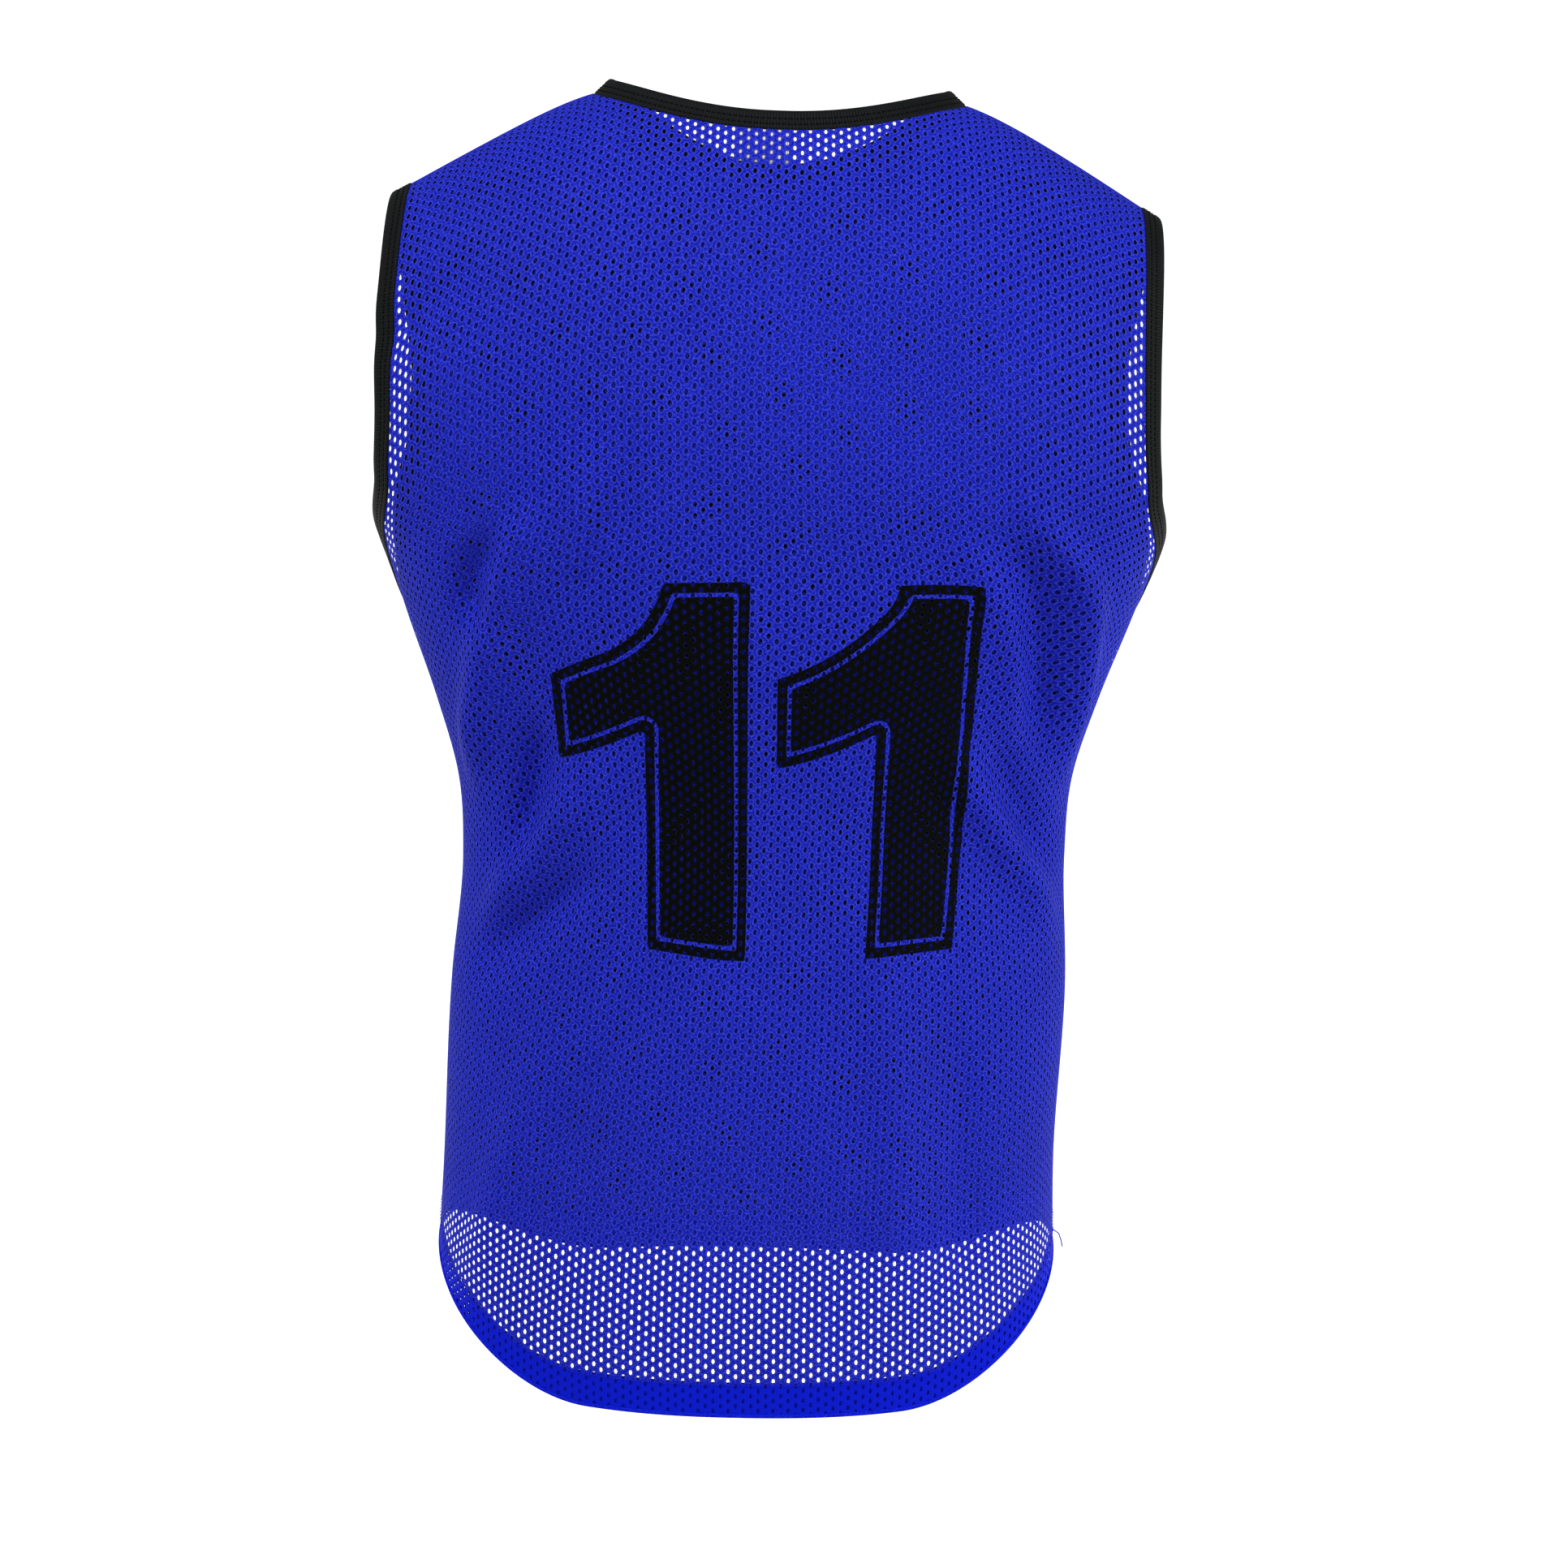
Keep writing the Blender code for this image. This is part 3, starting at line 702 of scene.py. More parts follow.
# %% Shape of one cell
HOLE_ACROSS = 0.0080
HOLE_UP = 0.0058
HOLE_HALF = (0.00088, 0.00128)
CELL_CORNER_UP = math.sin(math.radians(60))
CELL_WIDE = (HOLE_ACROSS / 2 + (HOLE_UP / 2) ** 2 / (HOLE_ACROSS / 2)) / 2
CELL_NARROW = HOLE_ACROSS / 2 - CELL_WIDE
KNIT_COLUMNS = 63
KNIT_ROWS = 138
KNIT_MIDDLE = (0.0, -0.10)
NEAR_EDGE = 0.0028
STILL_EDGE = 0.001
CELL_WELD = 0.0002
EDGE_WELD = 0.00005
SLIVER = 1e-8
WAVES_PER_METRE = 260.0


def hole_reach(half_width, half_height):
    """Scale that turns the corners of a six-sided disc into the corners of a hole."""
    return (half_width, half_height / CELL_CORNER_UP, 0.0)


KNIT_INPUTS = [
    ("Drape", "Object", None),
    ("Cut", "Object", None),
    ("Columns", "Int", KNIT_COLUMNS),
    ("Rows", "Int", KNIT_ROWS),
    ("Width", "Float", (KNIT_COLUMNS - 1) * HOLE_ACROSS),
    ("Height", "Float", (KNIT_ROWS - 1) * HOLE_UP),
    ("Stagger", "Vector", (HOLE_ACROSS / 2, HOLE_UP / 2, 0.0)),
    ("Middle", "Vector", (*KNIT_MIDDLE, 0.0)),
    ("Side Reach", "Vector", (CELL_WIDE, 0.0, 0.0)),
    ("Corner Reach", "Vector", (2 * CELL_NARROW, HOLE_UP / 2 / CELL_CORNER_UP, 0.0)),
    ("Hole Reach", "Vector", hole_reach(*HOLE_HALF)),
    ("Near Edge", "Float", NEAR_EDGE),
    ("Rim Depth", "Float", 0.0003),
    ("Lift", "Float", 0.0),
    ("Unevenness", "Float", 0.0005),
    ("Seed", "Float", 3.0),
    ("Material", "Material", None),
]
print("cell", round(CELL_WIDE * 2000, 2), "mm wide,", round(HOLE_UP * 1000, 2), "mm high")


# %% The knitting tree
def knitting_tree():
    tree = new_tree("knitted_mesh", KNIT_INPUTS)
    given = tree.nodes.new("NodeGroupInput").outputs
    here = add_node(tree, "GeometryNodeInputPosition")

    # One cell: a six-sided disc is inset, its rings are pulled to shape and its middle goes.
    disc = add_node(tree, "GeometryNodeMeshCircle", {
        "Vertices": 6, "Radius": 1.0}, fill_type="NGON")
    inset = add_node(tree, "GeometryNodeExtrudeMesh", {
        "Mesh": disc, "Offset Scale": 0.0}, mode="FACES")
    top = inset.outputs["Top"]
    marked = add_node(tree, "GeometryNodeStoreNamedAttribute", {
        "Geometry": inset.outputs["Mesh"], "Name": "rim", "Value": top},
        data_type="FLOAT", domain="POINT")
    place = add_node(tree, "ShaderNodeSeparateXYZ", {0: here})
    off_axis = add_node(tree, "ShaderNodeMath", {0: place.outputs["Y"]}, operation="ABSOLUTE")
    is_corner = add_node(tree, "FunctionNodeCompare", {
        "A": off_axis, "B": CELL_CORNER_UP / 2}, operation="GREATER_THAN")
    outer = add_node(tree, "GeometryNodeSwitch", {
        "Switch": is_corner, "False": given["Side Reach"], "True": given["Corner Reach"]},
        input_type="VECTOR")
    reach = add_node(tree, "GeometryNodeSwitch", {
        "Switch": top, "False": outer, "True": given["Hole Reach"]}, input_type="VECTOR")
    pulled = add_node(tree, "ShaderNodeVectorMath", {0: here, 1: reach}, operation="MULTIPLY")
    shaped = add_node(tree, "GeometryNodeSetPosition", {"Geometry": marked, "Position": pulled})
    cell = add_node(tree, "GeometryNodeDeleteGeometry", {
        "Geometry": shaped, "Selection": top}, domain="FACE", mode="ONLY_FACE")

    # A staggered grid of points over the cut: one grid, and the same grid moved by half.
    grid = add_node(tree, "GeometryNodeMeshGrid", {
        "Size X": given["Width"], "Size Y": given["Height"],
        "Vertices X": given["Columns"], "Vertices Y": given["Rows"]})
    between = add_node(tree, "GeometryNodeTransform", {
        "Geometry": grid, "Translation": given["Stagger"]})
    both = add_node(tree, "GeometryNodeJoinGeometry", {"Geometry": grid})
    tree.links.new(between.outputs["Geometry"], both.inputs["Geometry"])
    centred = add_node(tree, "GeometryNodeTransform", {
        "Geometry": both, "Translation": given["Middle"]})

    # Only the points in the cut, or just outside its edge, get a cell.
    cut = add_node(tree, "GeometryNodeObjectInfo", {"Object": given["Cut"]}).outputs["Geometry"]
    above = add_node(tree, "ShaderNodeVectorMath", {0: here, 1: (0.0, 0.0, 1.0)}, operation="ADD")
    ray = add_node(tree, "GeometryNodeRaycast", {
        "Target Geometry": cut, "Source Position": above, "Ray Direction": (0.0, 0.0, -1.0),
        "Ray Length": 2.0})
    outside = add_node(tree, "FunctionNodeBooleanMath", {0: ray.outputs["Is Hit"]}, operation="NOT")
    near = add_node(tree, "GeometryNodeProximity", {0: cut}, target_element="EDGES")
    far = add_node(tree, "FunctionNodeCompare", {
        "A": near.outputs["Distance"], "B": given["Near Edge"]}, operation="GREATER_THAN")
    lost = add_node(tree, "FunctionNodeBooleanMath", {0: outside, 1: far}, operation="AND")
    kept = add_node(tree, "GeometryNodeDeleteGeometry", {
        "Geometry": centred, "Selection": lost}, domain="POINT")
    cells = add_node(tree, "GeometryNodeInstanceOnPoints", {"Points": kept, "Instance": cell})
    joined = add_node(tree, "GeometryNodeRealizeInstances", {"Geometry": cells})
    welded = add_node(tree, "GeometryNodeMergeByDistance", {
        "Geometry": joined, "Distance": CELL_WELD})

    # Corners that fall outside are drawn in to the edge of the cut.
    drawn_in = add_node(tree, "GeometryNodeSetPosition", {
        "Geometry": welded, "Selection": outside, "Position": near.outputs["Position"]})
    edged = add_node(tree, "GeometryNodeMergeByDistance", {
        "Geometry": drawn_in, "Distance": EDGE_WELD})
    area = add_node(tree, "GeometryNodeInputMeshFaceArea")
    sliver = add_node(tree, "FunctionNodeCompare", {"A": area, "B": SLIVER}, operation="LESS_THAN")
    trimmed = add_node(tree, "GeometryNodeDeleteGeometry", {
        "Geometry": edged, "Selection": sliver}, domain="FACE")

    # The flat place is kept as UV, and a little unevenness is added away from the edge.
    flat = add_node(tree, "GeometryNodeStoreNamedAttribute", {
        "Geometry": trimmed, "Name": "flat", "Value": here}, data_type="FLOAT2", domain="CORNER")
    uneven = add_node(tree, "ShaderNodeTexNoise", {
        "Vector": here, "W": given["Seed"], "Scale": WAVES_PER_METRE, "Detail": 1.0},
        noise_dimensions="4D")
    even = add_node(tree, "ShaderNodeVectorMath", {
        0: uneven.outputs["Color"], 1: (0.5, 0.5, 0.5)}, operation="SUBTRACT")
    inner = add_node(tree, "FunctionNodeCompare", {
        "A": near.outputs["Distance"], "B": STILL_EDGE}, operation="GREATER_THAN")
    amount = add_node(tree, "ShaderNodeMath", {
        0: inner, 1: given["Unevenness"]}, operation="MULTIPLY")
    nudge = add_node(tree, "ShaderNodeVectorMath", {0: even, "Scale": amount}, operation="SCALE")
    looked = add_node(tree, "ShaderNodeVectorMath", {0: here, 1: nudge}, operation="ADD")

    # The worn place and the outward direction are read from the drape at the flat place.
    drape = add_node(tree, "GeometryNodeObjectInfo", {"Object": given["Drape"]}).outputs["Geometry"]
    drape_flat = add_node(tree, "GeometryNodeInputNamedAttribute", {
        "Name": "flat"}, data_type="FLOAT_VECTOR")
    worn = add_node(tree, "GeometryNodeSampleUVSurface", {
        "Mesh": drape, "Value": here, "UV Map": drape_flat, "Sample UV": looked},
        data_type="FLOAT_VECTOR")
    facing = add_node(tree, "GeometryNodeSampleUVSurface", {
        "Mesh": drape, "Value": add_node(tree, "GeometryNodeInputNormal"),
        "UV Map": drape_flat, "Sample UV": looked}, data_type="FLOAT_VECTOR")
    rim = add_node(tree, "GeometryNodeInputNamedAttribute", {"Name": "rim"}, data_type="FLOAT")
    sunk = add_node(tree, "ShaderNodeMath", {
        0: rim.outputs["Attribute"], 1: given["Rim Depth"]}, operation="MULTIPLY")
    raised = add_node(tree, "ShaderNodeMath", {0: given["Lift"], 1: sunk}, operation="SUBTRACT")
    push = add_node(tree, "ShaderNodeVectorMath", {
        0: facing.outputs["Value"], "Scale": raised}, operation="SCALE")
    laid = add_node(tree, "ShaderNodeVectorMath", {
        0: worn.outputs["Value"], 1: push}, operation="ADD")
    placed = add_node(tree, "GeometryNodeSetPosition", {"Geometry": flat, "Position": laid})
    real = add_node(tree, "GeometryNodeRealizeInstances", {"Geometry": placed})
    dressed = add_node(tree, "GeometryNodeSetMaterial", {
        "Geometry": real, "Material": given["Material"]})
    add_node(tree, "NodeGroupOutput", {"Geometry": dressed})
    return tree


KNITTING = knitting_tree()
print("knitting tree has", len(KNITTING.nodes), "nodes")


# %% Knit the two panels
def knit(name, side, cut, material, **values):
    piece = run_tree(name, KNITTING, bpy.data.meshes.new(name + "_start"), {
        "Drape": DRAPES[side], "Cut": cut, "Material": material, **values})
    if side == "front":
        piece.data.flip_normals()
    return piece


CLOSE_KNIT = {"Hole Reach": (0.0, 0.0, 0.0), "Rim Depth": 0.0009}
back_mesh = knit("back_mesh", "back", CUTS["back"], printed_mesh)
front_mesh = knit("front_mesh", "front", CUTS["front"], plain_mesh, **CLOSE_KNIT)
for piece in (back_mesh, front_mesh):
    triangles = sum(len(p.vertices) - 2 for p in piece.data.polygons)
    print(piece.name, triangles, "triangles")

# %% [markdown]
# ## The number
# The number is a plain 11, about 20 cm tall, in a black border, a thin line of bare blue cloth
# and a black fill. Its outline is a short table of corners on the flat cut, and each edge from
# one corner to the next is straight or swells to one side by its bow. For every point of the
# mesh, the depth inside that outline is stored as an attribute, and the cloth material paints
# ink wherever the depth says so. The holes cut through the print as they do in life.

# %% Depth inside the number
# Each corner of a digit: across, up, and the bow of the edge to the next corner.
DIGITS = (
    (
        (-0.050, -0.013, 0.0), (-0.009, -0.011, -0.001), (-0.009, -0.214, 0.0),
        (-0.066, -0.210, 0.003), (-0.065, -0.092, 0.002), (-0.118, -0.108, 0.0),
        (-0.112, -0.061, 0.0), (-0.080, -0.050, -0.006),
    ),
    (
        (0.061, -0.012, 0.0), (0.101, -0.009, 0.0), (0.102, -0.029, 0.0),
        (0.113, -0.091, 0.0), (0.114, -0.120, 0.0), (0.118, -0.152, 0.001),
        (0.113, -0.212, 0.0), (0.060, -0.215, -0.003), (0.059, -0.093, 0.002),
        (0.006, -0.111, 0.0), (0.005, -0.062, -0.005), (0.055, -0.026, -0.001),
    ),
)
BOW_STEPS = 9


def bowed_loop(rows):
    """The outline of a digit: each edge swells outwards by its bow, or inwards below nought."""
    corners = np.array(rows)[:, :2]
    bows = np.array(rows)[:, 2]
    points = []
    for start, end, bow in zip(corners, np.roll(corners, -1, axis=0), bows):
        run = end - start
        outwards = np.array([-run[1], run[0]]) / np.linalg.norm(run)
        for share in np.arange(BOW_STEPS) / BOW_STEPS if bow else (0.0,):
            points.append(start + run * share + outwards * bow * 4 * share * (1 - share))
    return np.array(points)


def depth_inside(points, loop):
    """Distance from the loop's edge, above nought inside it and below nought outside."""
    nearest = np.full(len(points), np.inf)
    inside = np.zeros(len(points), bool)
    for a, b in zip(loop, np.roll(loop, -1, axis=0)):
        edge = b - a
        share = np.clip((points - a) @ edge / (edge @ edge), 0.0, 1.0)
        nearest = np.minimum(nearest, np.linalg.norm(points - a - share[:, None] * edge, axis=1))
        crosses = (a[1] > points[:, 1]) != (b[1] > points[:, 1])
        rise = edge[1] if edge[1] != 0 else 1e-12
        left_of = points[:, 0] < a[0] + (points[:, 1] - a[1]) / rise * edge[0]
        inside ^= crosses & left_of
    return np.where(inside, nearest, -nearest)


def flat_points(mesh):
    """The flat place of each point of a knitted mesh, read from its UV map."""
    uv = np.empty(len(mesh.loops) * 2, np.float32)
    mesh.attributes["flat"].data.foreach_get("vector", uv)
    corners = np.empty(len(mesh.loops), np.int32)
    mesh.loops.foreach_get("vertex_index", corners)
    flat = np.zeros((len(mesh.vertices), 2))
    flat[corners] = uv.reshape(-1, 2)
    return flat


def store_number(mesh, name, values):
    layer = mesh.attributes.new(name, "FLOAT", "POINT")
    layer.data.foreach_set("value", values.astype(np.float32))


flat = flat_points(back_mesh.data)
depth = np.maximum(*[depth_inside(flat, bowed_loop(rows)) for rows in DIGITS])
store_number(back_mesh.data, "print_depth", depth)
print("points under ink", int((depth > 0).sum()), "of", len(depth))

# %% [markdown]
# ## The turned hem
# At the hem the mesh is folded inwards once and sewn down, so the band is two layers deep and
# its holes are filled by the layer behind. That layer is knitted by the same tree on a second
# cut, the band alone. It is moved over by a quarter of the pitch, as folded cloth never lines
# up with itself, and set inwards by less than a millimetre. A thin rolled edge joins the two.

# %% Hem layers
HEM_LIFT = -0.0009
TURNED_HOLE_HALF = (0.00030, 0.00050)
BAND_SOFT = 0.001


def band_outline(side):
    """The turned part of a panel: from the fold up to the row of hem stitches."""
    low = np.stack(hem_edge(), axis=1)
    high = low + (0.0, HEM_BAND)
    return np.concatenate([low, high[::-1]])


def knit_hem(side):
    loop = band_outline(side)
    cut = cut_object(side + "_band_cut", loop)
    piece = knit(side + "_hem_turning", side, cut, hem_mesh, **{
        "Hole Reach": hole_reach(*TURNED_HOLE_HALF), "Lift": HEM_LIFT,
        "Middle": (KNIT_MIDDLE[0] + HOLE_ACROSS / 4, KNIT_MIDDLE[1] + HOLE_UP / 4, 0.0)})
    bpy.data.objects.remove(cut)
    return piece


for piece in (back_mesh, front_mesh):
    flat = flat_points(piece.data)
    above_fold = flat[:, 1] - hem_height(flat[:, 0])
    turned = 1.0 - smoothstep(HEM_BAND - BAND_SOFT, HEM_BAND, above_fold)
    store_number(piece.data, "turned", turned)

HEM_TURNINGS = {side: knit_hem(side) for side in SIDE}
print("hem turnings", [len(piece.data.polygons) for piece in HEM_TURNINGS.values()], "faces")

# %% [markdown]
# ## Sweeping a section along an edge
# Tape, rolled edges and seams are all a small closed section carried along an edge of the
# cloth. A curve with a bevel would do for a cord, but it can't know which way the cloth
# faces. So each edge is read from the cut with its outward direction, and the section is a
# short table of two columns: how far it reaches from the edge, and how far it lifts off.


# %% Sweep
def unit(vectors):
    return vectors / np.linalg.norm(vectors, axis=-1, keepdims=True)


def smooth_along(vectors, looped, passes=4):
    """Evens out directions between neighbours along an edge."""
    for _ in range(passes):
        before, after = np.roll(vectors, 1, axis=0), np.roll(vectors, -1, axis=0)
        if not looped:
            before[0], after[-1] = vectors[0], vectors[-1]
        vectors = unit(vectors * 2 + before + after)
    return vectors


def edge_frame(edges, towards, stand=0.0, looped=True):
    """Places along an edge of the cloth, its outward directions and the way off the edge."""
    places, outs = [], []
    for side, across, up in edges:
        place, out = wall_frame(side, across, up)
        keep = slice(0, -1) if looped else slice(None)
        places.append(place[keep])
        outs.append(out[keep])
    places = np.concatenate(places)
    outs = smooth_along(np.concatenate(outs), looped)
    if looped:
        along = np.roll(places, -1, axis=0) - np.roll(places, 1, axis=0)
    else:
        along = np.gradient(places, axis=0)
    away = unit(np.cross(along, outs))
    if np.sum(away * (np.array(towards) - places)) < 0:
        away = -away
    away[:, 2] += stand * (1.0 - np.abs(away[:, 2]))
    return places, outs, smooth_along(unit(away), looped)


def sweep(name, edge, section_rows, material, looped=True):
    """Carries a closed section along an edge, with the run and the section's way round as UV."""
    places, outs, away = edge
    rows = np.array(section_rows)
    net = places[:, None] + away[:, None] * rows[:, 0:1] + outs[:, None] * rows[:, 1:2]
    length, count = net.shape[:2]
    run = np.concatenate([[0.0], np.cumsum(np.linalg.norm(np.diff(places, axis=0), axis=1))])
    run = np.append(run, run[-1] + np.linalg.norm(places[0] - places[-1]))
    girth = np.cumsum(np.linalg.norm(rows - np.roll(rows, 1, axis=0), axis=1))
    girth = np.append(girth, girth[-1] + np.linalg.norm(rows[0] - rows[-1]))
    faces, uv = [], []
    for i in range(length if looped else length - 1):
        for j in range(count):
            i2, j2 = (i + 1) % length, (j + 1) % count
            faces.append((i * count + j, i * count + j2, i2 * count + j2, i2 * count + j))
            uv += [(run[i], girth[j]), (run[i], girth[j + 1])]
            uv += [(run[i + 1], girth[j + 1]), (run[i + 1], girth[j])]
    if not looped:
        faces += [tuple(range(count))[::-1], tuple((length - 1) * count + j for j in range(count))]
        uv += [(0.0, 0.0)] * (2 * count)
    mesh = new_mesh(name, net.reshape(-1, 3).tolist(), faces, uv)
    shell = bmesh.new()
    shell.from_mesh(mesh)
    bmesh.ops.recalc_face_normals(shell, faces=shell.faces)
    shell.to_mesh(mesh)
    shell.free()
    mesh.materials.append(material)
    return new_object(name, mesh)


def loop_of(side_edge):
    """Back edge, then the front edge read backwards, so that the two close into a loop."""
    back, front = side_edge("back"), side_edge("front")
    return [("back", *back), ("front", front[0][::-1], front[1][::-1])]


NECK_MIDDLE = (0.0, 0.0, 0.02)
NECK_STAND = 0.8
ARM_ACROSS = 0.21
ARM_LEVEL = -0.16
HANDS = {"left": -1.0, "right": 1.0}
EDGE_FRAMES = {"neck": edge_frame(loop_of(neck_edge), NECK_MIDDLE, NECK_STAND)}
for label, hand in HANDS.items():
    edges = loop_of(lambda side: armhole_edge(side, hand))
    EDGE_FRAMES[label] = edge_frame(edges, (hand * ARM_ACROSS, 0.0, ARM_LEVEL))
print("points on the edges", {label: len(found[0]) for label, found in EDGE_FRAMES.items()})

# %% [markdown]
# ## Black tape
# The neckline and armholes are bound with black knitted polyester tape, folded over the raw
# edge and sewn through with two rows of stitches. Each row presses a valley into the tape, and
# it swells between and beside them. The tape is matt, with a fine rib that runs across it about
# every 0.8 mm, paler on each rib as a painted highlight and darker between as painted shade:
# the eye gets a soft grey light along the swells and a clear dark edge.
# The same function makes the other narrow goods. Black and blue spun thread is twisted, so its
# ribs are half a millimetre apart: black thread, darker than the tape both in its own black and
# as painted shade of the valleys, reads as a row of darker dots in the tape's valleys, and blue
# thread as a faint dotted line in cloth of its colour. The white tape of the label is woven
# close and even, and gives the one pale spot on the bib.

# %% Tape material
TAPE_RIB = 0.0008
SPOTS_PER_METRE = 220.0
TAPE_SHINE = 0.12


def ribbed_material(name, light, groove_shade_and_tone, pitch, roughness, strength):
    """Ribbed narrow fabric: painted highlight on the ribs and painted shade in between, with a soft
    uneven tone.
    """
    material, tree, shader, flat = new_material(name, roughness, TAPE_SHINE)
    ribs = add_node(tree, "ShaderNodeTexWave", {
        "Vector": flat, "Scale": 1.0 / pitch / WAVE_TURN, "Distortion": 0.6, "Detail": 1.0})
    uneven = add_node(tree, "ShaderNodeTexNoise", {
        "Vector": flat, "Scale": SPOTS_PER_METRE, "Detail": 3.0})
    rib_light_and_tone = add_node(tree, "ShaderNodeMath", {
        0: ribs.outputs["Fac"], 1: uneven}, operation="MULTIPLY")
    # Painted highlight on the ribs and painted shade between them, times a random uneven tone.
    colour = add_node(tree, "ShaderNodeMix", {
        "Factor": rib_light_and_tone, "A": linear(groove_shade_and_tone), "B": linear(light)}, data_type="RGBA")
    tree.links.new(colour.outputs["Result"], shader.inputs["Base Color"])
    bump = add_node(tree, "ShaderNodeBump", {
        "Height": ribs.outputs["Fac"], "Strength": strength, "Distance": YARN_RELIEF})
    tree.links.new(bump.outputs["Normal"], shader.inputs["Normal"])
    return material


black_tape = ribbed_material(
    "black_knitted_polyester_tape", "#1c2021", "#08090a", TAPE_RIB, 0.60, 0.6)
# The black thread is darker than the tape: partly its own black, partly painted shade of the
# valleys it lies in.
shaded_black_thread = ribbed_material(
    "black_spun_polyester_thread", "#060707", "#020202", 0.0005, 0.8, 0.4)
blue_thread = ribbed_material(
    "blue_spun_polyester_thread", "#3c49ee", "#1a25bc", 0.0005, 0.65, 0.4)
white_tape = ribbed_material(
    "white_woven_polyester_tape", "#f6f6f4", "#dddddb", 0.0006, 0.75, 0.35)
print("tape ribs", round(TAPE_RIB * 1000, 2), "mm apart")

# %% Tapes
TAPE_WIDTHS = {"neck": 0.0100, "left": 0.0105, "right": 0.0105}
TAPE_NAMES = {"neck": "neck_tape", "left": "armhole_tape_left", "right": "armhole_tape_right"}
STITCH_NAMES = {"neck": "neck_tape_stitches", "left": "armhole_tape_stitches_left",
                "right": "armhole_tape_stitches_right"}
TAPE_SECTION = (
    (-0.13, 0.00045),
    (-0.06, 0.00085),
    (0.04, 0.00100),
    (0.15, 0.00055),
    (0.30, 0.00115),
    (0.47, 0.00060),
    (0.66, 0.00120),
    (0.90, 0.00100),
    (0.98, 0.00050),
    (1.00, 0.00000),
    (0.98, -0.00050),
    (0.90, -0.00095),
    (0.60, -0.00105),
    (0.20, -0.00090),
    (-0.06, -0.00080),
    (-0.13, -0.00045),
)


def across_tape(label, rows):
    """Rows given in shares of a tape's width, in metres off its edge."""
    return [(share * TAPE_WIDTHS[label], lift) for share, lift in rows]


TAPES = {label: sweep(TAPE_NAMES[label], edge, across_tape(label, TAPE_SECTION), black_tape)
         for label, edge in EDGE_FRAMES.items()}
print("tapes", [piece.name for piece in TAPES.values()])

# %% [markdown]
# ## Stitches
# A sewing machine makes the same stitch hundreds of times, so it is the clearest use of
# Geometry Nodes: a path is divided into equal lengths, and one small oval of thread is placed on
# each point, turned along the path and towards the outside of the cloth. The same tree sews
# the tapes, the hem and the overlocked seams, with other lengths and slants.

# %% The stitching tree
STITCH_INPUTS = [
    ("Pitch", "Float", 0.0028),
    ("Length", "Float", 0.0022),
    ("Thickness", "Float", 0.00045),
    ("Slant", "Float", 0.0),
    ("Seed", "Int", 5),
    ("Material", "Material", None),
]
STITCH_WANDER = 0.06


def stitching_tree():
    tree = new_tree("stitch_row", STITCH_INPUTS)
    given = tree.nodes.new("NodeGroupInput").outputs
    path = add_node(tree, "GeometryNodeMeshToCurve", {"Mesh": given["Geometry"]})
    spaced = add_node(tree, "GeometryNodeResampleCurve", {
        "Curve": path, "Length": given["Pitch"]}, mode="LENGTH")
    thread = add_node(tree, "GeometryNodeMeshUVSphere", {
        "Segments": 6, "Rings": 4, "Radius": 0.5})
    size = add_node(tree, "ShaderNodeCombineXYZ", {
        "X": given["Length"], "Y": given["Thickness"], "Z": given["Thickness"]})
    stitch = add_node(tree, "GeometryNodeTransform", {
        "Geometry": thread.outputs["Mesh"], "Scale": size})
    outwards = add_node(tree, "GeometryNodeInputNamedAttribute", {
        "Name": "out"}, data_type="FLOAT_VECTOR")
    along = add_node(tree, "FunctionNodeAlignRotationToVector", {
        "Vector": add_node(tree, "GeometryNodeInputTangent")}, axis="X")
    facing = add_node(tree, "FunctionNodeAlignRotationToVector", {
        "Rotation": along, "Vector": outwards}, axis="Z", pivot_axis="X")
    wander = add_node(tree, "FunctionNodeRandomValue", {
        "Min": -STITCH_WANDER, "Max": STITCH_WANDER, "Seed": given["Seed"]}, data_type="FLOAT")
    angle = add_node(tree, "ShaderNodeMath", {
        0: given["Slant"], 1: next(s for s in wander.outputs if s.enabled)}, operation="ADD")
    turn = add_node(tree, "FunctionNodeAxisAngleToRotation", {
        "Axis": (0.0, 0.0, 1.0), "Angle": angle})
    slanted = add_node(tree, "FunctionNodeRotateRotation", {
        "Rotation": facing, "Rotate By": turn}, rotation_space="LOCAL")
    row = add_node(tree, "GeometryNodeInstanceOnPoints", {
        "Points": spaced, "Instance": stitch, "Rotation": slanted})
    real = add_node(tree, "GeometryNodeRealizeInstances", {"Geometry": row})
    sewn = add_node(tree, "GeometryNodeSetMaterial", {
        "Geometry": real, "Material": given["Material"]})
    add_node(tree, "NodeGroupOutput", {"Geometry": sewn})
    return tree


STITCHING = stitching_tree()


def path_mesh(name, rows, looped):
    """Paths for the stitching tree: points joined in a line, each with its outward direction."""
    points, outs, links = [], [], []
    for places, out in rows:
        first = len(points)
        points += places.tolist()
        outs += out.tolist()
        links += [(first + i, first + i + 1) for i in range(len(places) - 1)]
        if looped:
            links.append((first + len(places) - 1, first))
    mesh = new_mesh(name, points, [], edges=links)
    layer = mesh.attributes.new("out", "FLOAT_VECTOR", "POINT")
    layer.data.foreach_set("vector", np.array(outs, np.float32).ravel())
    return mesh


def sew(name, rows, material, looped=True, **values):
    mesh = path_mesh(name + "_path", rows, looped)
    return run_tree(name, STITCHING, mesh, {"Material": material, **values})


def rows_on(edge, spots):
    """Rows on an edge, each at its reach off the edge and its lift off the cloth."""
    places, outs, away = edge
    return [(places + away * reach + outs * lift, outs) for reach, lift in spots]


